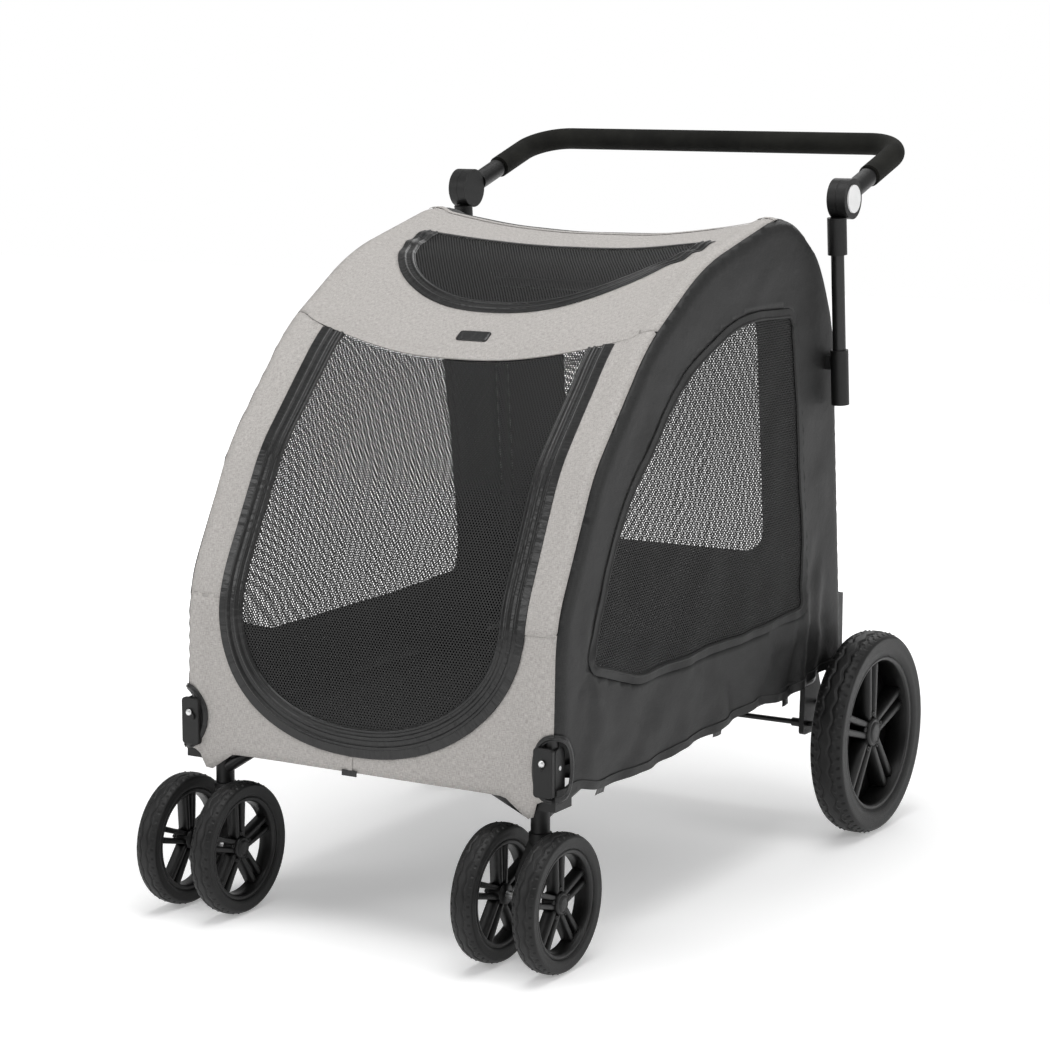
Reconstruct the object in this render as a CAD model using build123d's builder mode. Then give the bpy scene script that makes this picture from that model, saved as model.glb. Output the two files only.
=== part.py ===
"""Folding four-wheel pet stroller: base frame, drop-down body arches, cabin, handle and wheels."""

from build123d import *
import os
from math import atan2, cos, radians, sin

os.makedirs("parts", exist_ok=True)

# --- driving dimensions, millimetres -------------------------------------------------------
# Origin: on the ground under the middle of the stroller. +Y points to the rear and +Z up, so +X
# is on the right for someone who faces the front door.

REAR_WHEEL = {"x": 345, "y": 364, "radius": 150, "width": 51, "opening": 111, "hub": 21}
FRONT_WHEEL = {"radius": 90, "width": 32, "opening": 67, "hub": 15}
CASTER_X, CASTER_Y = 249, -420
CASTER_TRAIL = -33.2
TWIN_OFFSET = 45

# The side outline of the cabin, front hem to rear hem, as (y, z) corners with their radii.
OUTLINE = [
    (-454, 215), (-446, 440), (-352, 622), (-215, 772), (-60, 866),
    (190, 928), (298, 853), (345, 750), (391, 235),
]
OUTLINE_RADII = [200, 250, 300, 400, 150, 150, 200]
FABRIC = 2.0
TUBE = 19.0
TUBE_WALL = 1.2
TUBE_INSET = 12.5
ARCH_X = 276
BAND_HALF = 289
SIDE_UPPER_X, SIDE_LOWER_X, SIDE_THICK = 293.0, 290.0, 2.5

# The body arches turn on the front pins; the chord runs from there to the rear catches.
PIVOT = (-440.0, 260.6)
PIN_RADIUS, PIN_CLEARANCE = 3.0, 0.05
ARCH_END_Z, LEG_TOP_Z, LEG_FOOT_Z = 673.0, 663.0, 279.0
LEG_PIVOT_Z = 288.0
PANEL_SPLIT_Z = 637.0
BOOT_RADIUS = 46.0

HOOD_FRONT_SIDE_Y, HOOD_FRONT_MID_Y, HOOD_REAR_Y = -185.0, -236.0, 175.0
DOOR_HALF, DOOR_SHOULDER_Z, DOOR_SILL_Z = 231.0, 430.0, 242.0
SKYLIGHT_HALF, SKYLIGHT_REAR_Y, SKYLIGHT_FRONT_Y = 234.0, 62.0, -150.0
FLAP_GAP = 1.0

RAIL_X, RAIL_Z, RAIL_TUBE = 264.0, 226.0, 16.0
REAR_CROSS_Y = 372.0
FRONT_CROSS_Y = -439.0
BRACE_Z = 191.0
FLOOR_Z, FLOOR_THICK, MAT_THICK = 236.5, 6.0, 12.0
FLOOR_FRONT_Y, FLOOR_REAR_Y, FLOOR_HALF = -424.0, 354.0, 260.0

POST_X = 315.0
POST_FOOT = (314.3, 646.5)
POST_LEAN = 4.9
POST_LENGTH = 245.0
HANDLE_PIVOT = (307.0, 938.0)
HANDLE_X, HANDLE_RISE, HANDLE_REACH = 316.0, 17.8, 230.7
HANDLE_TUBE, GRIP_TUBE, SLEEVE_TUBE = 22.0, 33.0, 28.0
DISC_RADIUS = 29.0
DISC_IN, DISC_SPLIT, DISC_OUT = 304.6, 318.3, 333.0
BUTTON_RADIUS, BUTTON_TRAVEL = 20.0, 3.0

CHEEK_IN, CHEEK_OUT, CHEEK_THICK = 263.0, 286.0, 3.0
CORNER_FRONT_Y, CORNER_BACK_Y = -450.5, -427.0
HEAD_LOW, HEAD_HIGH, HEAD_RADIUS, STEM_RADIUS = 168.0, 208.0, 12.5, 6.0
CORNER_BASE_Z, CORNER_STEP_Z, KNUCKLE_FLOOR, CHEEK_TOP = 205.0, 222.0, 246.0, 286.0
CASTER_AXLE, CROWN_RADIUS, CROWN_LOW = 5.0, 15.0, 150.0
FORK_HALF, FORK_TOP, FORK_WAIST, AXLE_BOSS = 12.0, 160.0, 112.0, 16.0
LOCK_X, LOCK_Y, LOCK_Z = (262.0, 290.0), (-461.0, -454.0), (224.0, 288.0)
RIVET_X, RIVET_Y, RIVET_RISE, RIVET_RADIUS = 272.0, (-463.5, -458.0), 3.0, 4.5

BLOCK_BACK_Y, BLOCK_WALL = 388.5, 4.0
BLOCK_LOW, BLOCK_FLOOR, BLOCK_TOP = 235.5, 262.0, 350.0
AXLE_Z, AXLE_RADIUS, COLLAR_RADIUS, COLLAR_LENGTH = 150.0, 4.0, 6.5, 17.5
BRACKET_X, BRACKET_THICK = 241.0, 8.0
BRAKE_Y, BRAKE_Z, BRAKE_ROD = 400.0, 176.0, 4.0
BRAKE_ARM, BRAKE_PAD = (296.0, 304.0), (286.0, 312.0)
ARM_REACH, PAD_REACH = (-8.0, 50.0), (44.0, 84.0)

SOCKET_RADIUS, SOCKET_LOW, SOCKET_HIGH = 13.0, -5.0, 75.0
RING_LOW, RING_HIGH = 690.0, 714.0
CATCH_Y, CATCH_SWEEP = (306.0, 340.0), 826.0

SIDES = (("left", -1), ("right", 1))


def save(part, name):
    """Label one finished piece and write it as its own STEP file."""
    part.label = name
    export_step(part, f"parts/{name}.step")


def outline(inset):
    """The cabin outline's corners, moved inwards by inset."""
    moved = []
    last = len(OUTLINE) - 1
    for index, (y, z) in enumerate(OUTLINE):
        normals = []
        for first in (index - 1, index):
            if 0 <= first < last:
                dy = OUTLINE[first + 1][0] - OUTLINE[first][0]
                dz = OUTLINE[first + 1][1] - OUTLINE[first][1]
                length = (dy * dy + dz * dz) ** 0.5
                normals.append((dz / length, -dy / length))
        (ay, az), (by, bz) = normals[0], normals[-1]
        share = inset / (1 + ay * by + az * bz)
        moved.append((y + (ay + by) * share, z + (az + bz) * share))
    return moved


def rear_y(z, inset=0.0):
    """Depth of the straight rear edge of the cabin at height z, moved inwards by inset."""
    (y0, z0), (y1, z1) = outline(inset)[-2:]
    return y0 + (y1 - y0) * (z - z0) / (z1 - z0)


def post_point(along):
    """A (y, z) point on the leaning handle post, along millimetres above its foot."""
    lean = radians(POST_LEAN)
    return POST_FOOT[0] - along * sin(lean), POST_FOOT[1] + along * cos(lean)


def arm_point(reach):
    """A (y, z) point on the handle arm, reach millimetres from the handle pivot."""
    rise = radians(HANDLE_RISE)
    return HANDLE_PIVOT[0] + reach * cos(rise), HANDLE_PIVOT[1] + reach * sin(rise)


def pipe(points, radii, diameter, wall):
    """A bent tube along straight runs joined by arcs."""
    with BuildPart() as tube:
        with BuildLine() as path:
            FilletPolyline(*points, radius=radii)
        with BuildSketch(Plane(origin=path.line @ 0, z_dir=path.line % 0)):
            Circle(diameter / 2)
            Circle(diameter / 2 - wall, mode=Mode.SUBTRACT)
        sweep()
    return tube.part


def rod(start, end, radius, bore=0.0):
    """A straight round bar, or a sleeve where bore is given, from start to end."""
    axis = Vector(*end) - Vector(*start)
    with BuildPart() as bar:
        with BuildSketch(Plane(origin=start, z_dir=axis)):
            Circle(radius)
            if bore:
                Circle(bore, mode=Mode.SUBTRACT)
        extrude(amount=axis.length)
    return bar.part


def block(x, y, z):
    """A plain box between the given (low, high) pairs."""
    with BuildPart() as box:
        with BuildSketch(Plane.XY.offset(z[0])):
            with Locations(((x[0] + x[1]) / 2, (y[0] + y[1]) / 2)):
                Rectangle(x[1] - x[0], y[1] - y[0])
        extrude(amount=z[1] - z[0])
    return box.part


def span(side, low, high):
    """An x range on one side of the stroller, low to high from the middle outwards."""
    return tuple(sorted((side * low, side * high)))


# --- base frame ----------------------------------------------------------------------------


def base_loop():
    """Side rails and rear cross tube, bent from one length, dipping to the caster heads."""
    nose_y, knee_y = CASTER_Y + 10, -318
    right = [(CASTER_X + 2, nose_y, BRACE_Z), (RAIL_X, knee_y, RAIL_Z), (RAIL_X, REAR_CROSS_Y, RAIL_Z)]
    left = [(-x, y, z) for x, y, z in reversed(right)]
    return pipe(right + left, [60, 45, 45, 60], RAIL_TUBE, TUBE_WALL)


def front_cross_tube():
    """Front cross tube, bent down to the two caster heads."""
    end_x, knee_x = CASTER_X - 10, 182
    points = [
        (-end_x, CASTER_Y - 4, BRACE_Z), (-knee_x, FRONT_CROSS_Y, RAIL_Z - 1),
        (knee_x, FRONT_CROSS_Y, RAIL_Z - 1), (end_x, CASTER_Y - 4, BRACE_Z),
    ]
    return pipe(points, 40, RAIL_TUBE, TUBE_WALL)


def front_corner(side):
    """Moulded front corner: caster head below, hinge fork for the arch foot above."""
    head = (side * CASTER_X, CASTER_Y)
    with BuildPart() as corner:
        add(rod((*head, HEAD_LOW), (*head, HEAD_HIGH), HEAD_RADIUS))
        outer = CHEEK_OUT + CHEEK_THICK
        foot = span(side, CASTER_X - HEAD_RADIUS + 0.5, outer)
        add(block(foot, (CORNER_FRONT_Y, CASTER_Y + 10), (CORNER_BASE_Z, CORNER_STEP_Z)))
        depth = (CORNER_FRONT_Y, CORNER_BACK_Y)
        add(block(span(side, CHEEK_IN, outer), depth, (CORNER_STEP_Z, KNUCKLE_FLOOR)))
        for low in (CHEEK_IN, CHEEK_OUT):
            add(block(span(side, low, low + CHEEK_THICK), depth, (KNUCKLE_FLOOR, CHEEK_TOP)))
        fillet(corner.edges().filter_by(Axis.X).group_by(Axis.Z)[-1], 8)
        bore_top = HEAD_HIGH - 4
        add(rod((*head, HEAD_LOW), (*head, bore_top), STEM_RADIUS + PIN_CLEARANCE), mode=Mode.SUBTRACT)
        add(hinge_pin(side, PIVOT, PIN_CLEARANCE), mode=Mode.SUBTRACT)
    return corner.part


def hinge_pin(side, pivot, grow=0.0):
    """The cross pin of a corner hinge; grow gives the hole that it runs in."""
    inner, outer = CHEEK_IN - 1.5, CHEEK_OUT + CHEEK_THICK + 0.8
    if grow:
        inner, outer = inner - 3, outer + 3
    return rod((side * inner, *pivot), (side * outer, *pivot), PIN_RADIUS + grow)


def leg_pivot():
    return rear_y(LEG_PIVOT_Z, TUBE_INSET), LEG_PIVOT_Z


def rear_corner(side):
    """Rear corner block: a fork open to the front, in which the rear leg's foot turns."""
    front, back = leg_pivot()[0] - 14, BLOCK_BACK_Y
    full, end = span(side, CHEEK_IN, CHEEK_OUT + CHEEK_THICK), back + BLOCK_WALL
    with BuildPart() as corner:
        add(block(full, (front, end), (BLOCK_LOW, BLOCK_FLOOR)))
        add(block(full, (back, end), (BLOCK_FLOOR, BLOCK_TOP)))
        for low in (CHEEK_IN, CHEEK_OUT):
            add(block(span(side, low, low + CHEEK_THICK), (front, end), (BLOCK_FLOOR, BLOCK_TOP)))
        fillet(corner.edges().filter_by(Axis.X).group_by(Axis.Z)[-1].sort_by(Axis.Y)[0], 8)
        add(hinge_pin(side, leg_pivot(), PIN_CLEARANCE), mode=Mode.SUBTRACT)
    return corner.part


def fold_pins():
    """The four hinge pins of the fold, two at the arch feet and two at the rear legs."""
    with BuildPart() as pins:
        for _, side in SIDES:
            add(hinge_pin(side, PIVOT))
            add(hinge_pin(side, leg_pivot()))
    return pins.part


def axle_bracket(side):
    """Plate under the rear cross tube that carries the axle and the brake lever."""
    x = span(side, BRACKET_X, BRACKET_X + BRACKET_THICK)
    start = Plane(origin=(x[0], 0, 0), x_dir=(0, 1, 0), z_dir=(1, 0, 0))
    with BuildPart() as bracket:
        with BuildSketch(start):
            with BuildLine():
                Polyline(
                    (347, 135), (381, 135), (411, 166), (411, 186), (392, 234), (352, 234), (347, 135)
                )
            make_face()
        extrude(amount=BRACKET_THICK)
        fillet(bracket.edges().filter_by(Axis.X), 7)
        add(rod((x[0] - 1, REAR_CROSS_Y, RAIL_Z), (x[1] + 1, REAR_CROSS_Y, RAIL_Z), RAIL_TUBE / 2 + 0.1),
            mode=Mode.SUBTRACT)
        add(rod((x[0] - 1, REAR_WHEEL["y"], AXLE_Z), (x[1] + 1, REAR_WHEEL["y"], AXLE_Z),
                AXLE_RADIUS + PIN_CLEARANCE), mode=Mode.SUBTRACT)
        add(rod((x[0] - 1, BRAKE_Y, BRAKE_Z), (x[1] + 1, BRAKE_Y, BRAKE_Z), BRAKE_ROD + PIN_CLEARANCE),
            mode=Mode.SUBTRACT)
    return bracket.part


def rear_axle():
    """Straight axle through both rear wheels, with a collar inboard of each bracket."""
    y, reach = REAR_WHEEL["y"], REAR_WHEEL["x"] + 7
    with BuildPart() as axle:
        add(rod((-reach, y, AXLE_Z), (reach, y, AXLE_Z), AXLE_RADIUS))
        for _, side in SIDES:
            near = BRACKET_X - 0.5
            add(rod((side * (near - COLLAR_LENGTH), y, AXLE_Z), (side * near, y, AXLE_Z), COLLAR_RADIUS))
    return axle.part


def brake_lever(side):
    """Foot brake: cross rod in the bracket, pedal arm and pad, and a pawl beside the hub."""
    near, far = BRACKET_X - 9, BRAKE_ARM[1]
    arm_y, pad_y = [(BRAKE_Y + low, BRAKE_Y + high) for low, high in (ARM_REACH, PAD_REACH)]
    with BuildPart() as lever:
        add(rod((side * near, BRAKE_Y, BRAKE_Z), (side * far, BRAKE_Y, BRAKE_Z), BRAKE_ROD))
        add(block(span(side, *BRAKE_ARM), arm_y, (BRAKE_Z - 7, BRAKE_Z + 7)))
        add(block(span(side, *BRAKE_PAD), pad_y, (BRAKE_Z + 1, BRAKE_Z + 9)))
        fillet(lever.edges().filter_by(Axis.Z), 3)
    return lever.part


def floor_board():
    """Flat floor board that lies on the rails and cross tubes."""
    with BuildPart() as board:
        with BuildSketch(Plane.XY.offset(FLOOR_Z)):
            with Locations((0, (FLOOR_FRONT_Y + FLOOR_REAR_Y) / 2)):
                RectangleRounded(2 * FLOOR_HALF, FLOOR_REAR_Y - FLOOR_FRONT_Y, 18)
        extrude(amount=FLOOR_THICK)
    return board.part


def floor_mat():
    """Padded mat on the floor board."""
    margin = 6
    with BuildPart() as mat:
        with BuildSketch(Plane.XY.offset(FLOOR_Z + FLOOR_THICK + 0.4)):
            with Locations((0, (FLOOR_FRONT_Y + FLOOR_REAR_Y) / 2)):
                RectangleRounded(2 * (FLOOR_HALF - margin), FLOOR_REAR_Y - FLOOR_FRONT_Y - 2 * margin, 20)
        extrude(amount=MAT_THICK)
        fillet(mat.faces().sort_by(Axis.Z)[-1].edges(), 4)
    return mat.part


def front_lock(side):
    """Sliding lock plate over the front hinge, with its rivet head."""
    rivet = (side * RIVET_X, PIVOT[1] + RIVET_RISE)
    with BuildPart() as lock:
        add(block(span(side, *LOCK_X), LOCK_Y, LOCK_Z))
        fillet(lock.edges().filter_by(Axis.Y), 5)
        fillet(lock.faces().sort_by(Axis.Y)[0].edges(), 1.5)
        front, back = [(rivet[0], y, rivet[1]) for y in RIVET_Y]
        add(rod(front, back, RIVET_RADIUS))
    return lock.part


def rear_leg(side):
    """Rear leg tube, from its pin in the corner block up to the arch end."""
    foot, top = rear_y(LEG_FOOT_Z, TUBE_INSET), rear_y(LEG_TOP_Z, TUBE_INSET)
    x = side * ARCH_X
    with BuildPart() as leg:
        add(rod((x, foot, LEG_FOOT_Z), (x, top, LEG_TOP_Z), TUBE / 2, TUBE / 2 - TUBE_WALL))
        add(hinge_pin(side, leg_pivot(), PIN_CLEARANCE), mode=Mode.SUBTRACT)
    return leg.part


# --- cabin frame ---------------------------------------------------------------------------


def arch_tube(side):
    """Body arch: one tube from the front hinge over the top to the rear catch."""
    corners = outline(TUBE_INSET)
    x = side * ARCH_X
    foot = (x, PIVOT[0], PIVOT[1] - 9.5)
    end = (x, rear_y(ARCH_END_Z, TUBE_INSET), ARCH_END_Z)
    points = [foot] + [(x, y, z) for y, z in corners[1:-1]] + [end]
    radii = [radius - TUBE_INSET for radius in OUTLINE_RADII]
    with BuildPart() as tube:
        add(pipe(points, radii, TUBE, TUBE_WALL))
        add(hinge_pin(side, PIVOT, PIN_CLEARANCE), mode=Mode.SUBTRACT)
    return tube.part


def spreader():
    """Cross tube that holds the arches apart at the top of the back."""
    (y0, z0), (y1, z1) = outline(TUBE_INSET)[-3:-1]
    y, z = (y0 + y1) / 2, (z0 + z1) / 2
    reach = ARCH_X - TUBE / 2 - 0.3
    return rod((-reach, y, z), (reach, y, z), RAIL_TUBE / 2, RAIL_TUBE / 2 - TUBE_WALL)


def post_catch(side):
    """Bracket on the arch's rear end: a ring on the tube and a socket for the handle post."""
    ring_foot = (side * ARCH_X, rear_y(RING_LOW, TUBE_INSET), RING_LOW)
    ring_top = (side * ARCH_X, rear_y(RING_HIGH, TUBE_INSET), RING_HIGH)
    low, high = post_point(SOCKET_LOW), post_point(SOCKET_HIGH)
    past_low, past_high = post_point(SOCKET_LOW - 5), post_point(SOCKET_HIGH + 5)
    x = side * POST_X
    with BuildPart() as catch:
        add(rod((x, *low), (x, *high), SOCKET_RADIUS))
        add(rod(ring_foot, ring_top, SOCKET_RADIUS))
        add(block(span(side, ARCH_X + 6, POST_X), CATCH_Y, (RING_LOW + 2, RING_HIGH - 2)))
        add(rod((x, *past_low), (x, *past_high), TUBE / 2 + 0.1), mode=Mode.SUBTRACT)
        bore_foot = (side * ARCH_X, rear_y(RING_LOW - 9, TUBE_INSET), RING_LOW - 9)
        bore_top = (side * ARCH_X, rear_y(RING_HIGH + 9, TUBE_INSET), RING_HIGH + 9)
        add(rod(bore_foot, bore_top, TUBE / 2 + 0.1), mode=Mode.SUBTRACT)
    return catch.part


# --- cabin cover ---------------------------------------------------------------------------


def cover_band(half_width):
    """The whole cover over the arches, hem to hem, as one thin band of the outline."""
    with BuildPart() as band:
        with BuildSketch(Plane.YZ.offset(-half_width)):
            with BuildLine():
                outer = FilletPolyline(*outline(0), radius=OUTLINE_RADII)
                inner = FilletPolyline(*outline(FABRIC), radius=[r - FABRIC for r in OUTLINE_RADII])
                Line(outer @ 0, inner @ 0)
                Line(outer @ 1, inner @ 1)
            make_face()
        extrude(amount=2 * half_width)
    return band.part


def front_zone(gap):
    """Everything ahead of the hood's bowed front edge, less a gap."""
    side_y, middle_y = HOOD_FRONT_SIDE_Y - gap, HOOD_FRONT_MID_Y - gap
    with BuildPart() as zone:
        with BuildSketch():
            with BuildLine():
                ThreePointArc((-BAND_HALF - 1, side_y), (0, middle_y), (BAND_HALF + 1, side_y))
                Polyline(
                    (BAND_HALF + 1, side_y), (BAND_HALF + 1, -500), (-BAND_HALF - 1, -500),
                    (-BAND_HALF - 1, side_y),
                )
            make_face()
        extrude(amount=1000)
    return zone.part


def door_zone(gap):
    """The door's outline as a block from front to back: straight sides and a rounded sill."""
    half, sill = DOOR_HALF - gap, DOOR_SILL_Z + gap
    with BuildPart() as zone:
        with BuildSketch(Plane(origin=(0, -600, 0), x_dir=(1, 0, 0), z_dir=(0, -1, 0))):
            with BuildLine():
                Spline(
                    (half, DOOR_SHOULDER_Z), (half - 26, DOOR_SHOULDER_Z - 108),
                    (half - 110, sill + 24), (0, sill), tangents=[(0, -1), (-1, 0)],
                )
                Polyline((half, DOOR_SHOULDER_Z), (half, 900), (0, 900))
                mirror(about=Plane.YZ)
            make_face()
        extrude(amount=-500)
    return zone.part


def skylight_zone(gap):
    """The skylight's outline as an upright block: straight rear edge, bowed front edge."""
    half, rear = SKYLIGHT_HALF - gap, SKYLIGHT_REAR_Y - gap
    depth = SKYLIGHT_REAR_Y - SKYLIGHT_FRONT_Y - 2 * gap
    with BuildPart() as zone:
        with BuildSketch(Plane.XY.offset(700)):
            with Locations((0, rear)):
                Ellipse(half, depth)
            split(bisect_by=Plane(origin=(0, rear, 0), z_dir=(0, 1, 0)), keep=Keep.BOTTOM)
        extrude(amount=300)
    return zone.part


def front_surround():
    """Front panel of the cover around the door, cut away at the corner hinges."""
    with BuildPart() as panel:
        add(cover_band(BAND_HALF))
        add(front_zone(0.4), mode=Mode.INTERSECT)
        add(door_zone(0), mode=Mode.SUBTRACT)
        for _, side in SIDES:
            add(block(span(side, 256, 300), (-480, -400), (200, 294)), mode=Mode.SUBTRACT)
    return panel.part


def front_door():
    """Zipped mesh door in the front panel."""
    with BuildPart() as door:
        add(cover_band(BAND_HALF))
        add(front_zone(FLAP_GAP), mode=Mode.INTERSECT)
        add(door_zone(FLAP_GAP), mode=Mode.INTERSECT)
    return door.part


def hood():
    """Top of the cover, from its bowed front edge to the rear seam, with the skylight cut out."""
    with BuildPart() as top:
        add(cover_band(BAND_HALF))
        add(front_zone(0), mode=Mode.SUBTRACT)
        add(block((-300, 300), (-300, HOOD_REAR_Y), (700, 1000)), mode=Mode.INTERSECT)
        add(skylight_zone(0), mode=Mode.SUBTRACT)
    return top.part


def skylight_panel():
    """Mesh skylight flap."""
    with BuildPart() as flap:
        add(cover_band(BAND_HALF))
        add(block((-300, 300), (-300, HOOD_REAR_Y), (700, 1000)), mode=Mode.INTERSECT)
        add(skylight_zone(FLAP_GAP), mode=Mode.INTERSECT)
    return flap.part


def rear_panel_upper():
    """Back of the cover above the catches, which comes down with the arches."""
    with BuildPart() as panel:
        add(cover_band(BAND_HALF))
        add(block((-300, 300), (HOOD_REAR_Y + 0.4, 420), (PANEL_SPLIT_Z + 3, 1000)), mode=Mode.INTERSECT)
        for _, side in SIDES:
            add(block(span(side, 260, 300), (300, 380), (RING_LOW - 7, RING_HIGH + 9)), mode=Mode.SUBTRACT)
    return panel.part


def rear_panel_lower():
    """Back of the cover below the catches, which stays with the base."""
    half = 258
    with BuildPart() as panel:
        add(cover_band(half))
        add(block((-half, half), (300, 420), (200, PANEL_SPLIT_Z - 4)), mode=Mode.INTERSECT)
    return panel.part


def side_sheet(side, near):
    """The whole side of the cabin as a flat sheet inside the outline."""
    start = min(side * near, side * (near + SIDE_THICK))
    with BuildPart() as sheet:
        with BuildSketch(Plane.YZ.offset(start)):
            with BuildLine():
                edge = FilletPolyline(*outline(0), radius=OUTLINE_RADII)
                Line(edge @ 1, edge @ 0)
            make_face()
        extrude(amount=SIDE_THICK)
        add(rod((side * 280, *PIVOT), (side * 310, *PIVOT), BOOT_RADIUS), mode=Mode.SUBTRACT)
    return sheet.part


def chord_plane():
    """Plane through the front pivots and the top of the rear legs."""
    top = rear_y(PANEL_SPLIT_Z)
    angle = atan2(PANEL_SPLIT_Z - PIVOT[1], top - PIVOT[0])
    return Plane(origin=(0, *PIVOT), x_dir=(1, 0, 0), z_dir=(0, -sin(angle), cos(angle)))


def side_panel_upper(side):
    """Side of the cabin above the chord, on the arch, notched round the post catch."""
    with BuildPart() as panel:
        add(side_sheet(side, SIDE_UPPER_X))
        split(bisect_by=chord_plane(), keep=Keep.TOP)
        notch = (RING_LOW - 5, RING_HIGH + 5)
        add(block(span(side, 280, 310), (300, 400), notch), mode=Mode.SUBTRACT)
    return panel.part


def side_panel_lower(side):
    """Side of the cabin below the chord, on the base, cut back where the catch comes down."""
    with BuildPart() as panel:
        add(side_sheet(side, SIDE_LOWER_X))
        split(bisect_by=chord_plane(), keep=Keep.BOTTOM)
        add(block(span(side, 280, 310), (-500, PIVOT[0]), (200, 300)), mode=Mode.SUBTRACT)
        add(rod((side * 280, *PIVOT), (side * 310, *PIVOT), CATCH_SWEEP), mode=Mode.INTERSECT)
    return panel.part


# --- handle --------------------------------------------------------------------------------


def handle_post(side):
    """Leaning post tube that slides in the catch."""
    x = side * POST_X
    return rod((x, *post_point(0)), (x, *post_point(POST_LENGTH)), TUBE / 2, TUBE / 2 - TUBE_WALL)


def handle_disc(side, low, high, radius):
    return rod((side * low, *HANDLE_PIVOT), (side * high, *HANDLE_PIVOT), radius)


def handle_knuckle(side):
    """Fixed half of the tilt joint with the sleeve that grips the top of the post."""
    x = side * POST_X
    with BuildPart() as knuckle:
        add(rod((x, *post_point(213)), (x, *post_point(266)), SLEEVE_TUBE / 2))
        add(handle_disc(side, DISC_SPLIT, 345, DISC_RADIUS + 1.2), mode=Mode.SUBTRACT)
        add(handle_disc(side, DISC_IN, DISC_SPLIT - 0.2, DISC_RADIUS))
        add(rod((x, *post_point(200)), (x, *post_point(POST_LENGTH + 0.3)), TUBE / 2 + 0.1),
            mode=Mode.SUBTRACT)
    return knuckle.part


def handle_hub(side):
    """Turning half of the tilt joint with the sleeve that grips the handle bar's end."""
    x = side * HANDLE_X
    with BuildPart() as hub:
        add(rod((x, *arm_point(12)), (x, *arm_point(88)), SLEEVE_TUBE / 2))
        add(handle_disc(side, 295, DISC_SPLIT + 0.2, DISC_RADIUS + 1.2), mode=Mode.SUBTRACT)
        add(handle_disc(side, DISC_SPLIT + 0.2, DISC_OUT, DISC_RADIUS))
        add(rod((x, *arm_point(36)), (x, *arm_point(95)), HANDLE_TUBE / 2 + 0.1), mode=Mode.SUBTRACT)
        add(handle_disc(side, DISC_OUT - 8, DISC_OUT + 5, BUTTON_RADIUS + 0.3), mode=Mode.SUBTRACT)
    return hub.part


def tilt_button(side):
    """Round push button in the outer face of the tilt joint."""
    rest = DISC_OUT + BUTTON_TRAVEL
    with BuildPart() as button:
        add(handle_disc(side, rest - 7.5, rest, BUTTON_RADIUS))
        fillet(button.faces().sort_by(Axis.X)[-1 if side > 0 else 0].edges(), 1.5)
    return button.part


def handle_loop(start, diameter, wall):
    """U of the handle: two arms and the cross bar, beginning start millimetres from the pivot."""
    near, far = arm_point(start), arm_point(HANDLE_REACH)
    points = [(-HANDLE_X, *near), (-HANDLE_X, *far), (HANDLE_X, *far), (HANDLE_X, *near)]
    return pipe(points, 58, diameter, wall)


def post_pins():
    """Spring pins in the posts and the screws of the sleeves, all facing back."""
    with BuildPart() as pins:
        for _, side in SIDES:
            for along, surface in ((124, TUBE / 2), (155, TUBE / 2), (222, SLEEVE_TUBE / 2)):
                y, z = post_point(along)
                add(rod((side * POST_X, y + surface - 0.6, z), (side * POST_X, y + surface + 2.2, z), 3.2))
    return pins.part


# --- wheels --------------------------------------------------------------------------------


def tyre(centre, size, hollow):
    """Tyre with flat sidewalls and a crowned tread; hollow is the radius that it seats on."""
    half, outer, shoulder = size["width"] / 2, size["radius"], size["radius"] * 0.93
    edge, wall = (half * 0.92, shoulder), (half, shoulder * 0.9)
    with BuildPart() as ring:
        with BuildSketch(Plane(origin=centre, x_dir=(1, 0, 0), z_dir=(0, -1, 0))):
            with BuildLine():
                Polyline(
                    edge, wall, (half * 0.8, hollow), (-half * 0.8, hollow),
                    (-wall[0], wall[1]), (-edge[0], edge[1]),
                )
                ThreePointArc((-edge[0], edge[1]), (0, outer), edge)
            make_face()
        revolve(axis=Axis(centre, (1, 0, 0)))
    return ring.part


def rim(centre, size, side, bore, recess):
    """Moulded rim: ring, hub with cap, and five pairs of spokes set in from the outer face."""
    ring_outer, opening, hub = size["opening"] + 3, size["opening"] - 3, size["hub"]
    half = size["width"] / 2
    face = Plane(origin=centre, x_dir=(0, 1, 0), z_dir=(side, 0, 0))
    with BuildPart() as wheel_rim:
        with BuildSketch(face.offset(-half * 0.78)):
            Circle(ring_outer)
            Circle(opening, mode=Mode.SUBTRACT)
        extrude(amount=half * 1.56)
        with BuildSketch(face.offset(-half)):
            Circle(hub)
        extrude(amount=2 * half - recess)
        with BuildSketch(face.offset(half - recess - 9)):
            with PolarLocations(0, 5, start_angle=18):
                for lean in (-1, 1):
                    Polygon(
                        (hub - 3, lean * 1.5), (hub - 3, lean * hub * 0.45),
                        (opening + 1.5, lean * hub * 0.95), (opening + 1.5, lean * hub * 0.62),
                        align=None,
                    )
        extrude(amount=7)
        open_end = (centre[0] - side * (half + 2), *centre[1:])
        blind_end = (centre[0] + side * (half - recess - 5), *centre[1:])
        add(rod(open_end, blind_end, bore + PIN_CLEARANCE), mode=Mode.SUBTRACT)
    return wheel_rim.part


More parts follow.
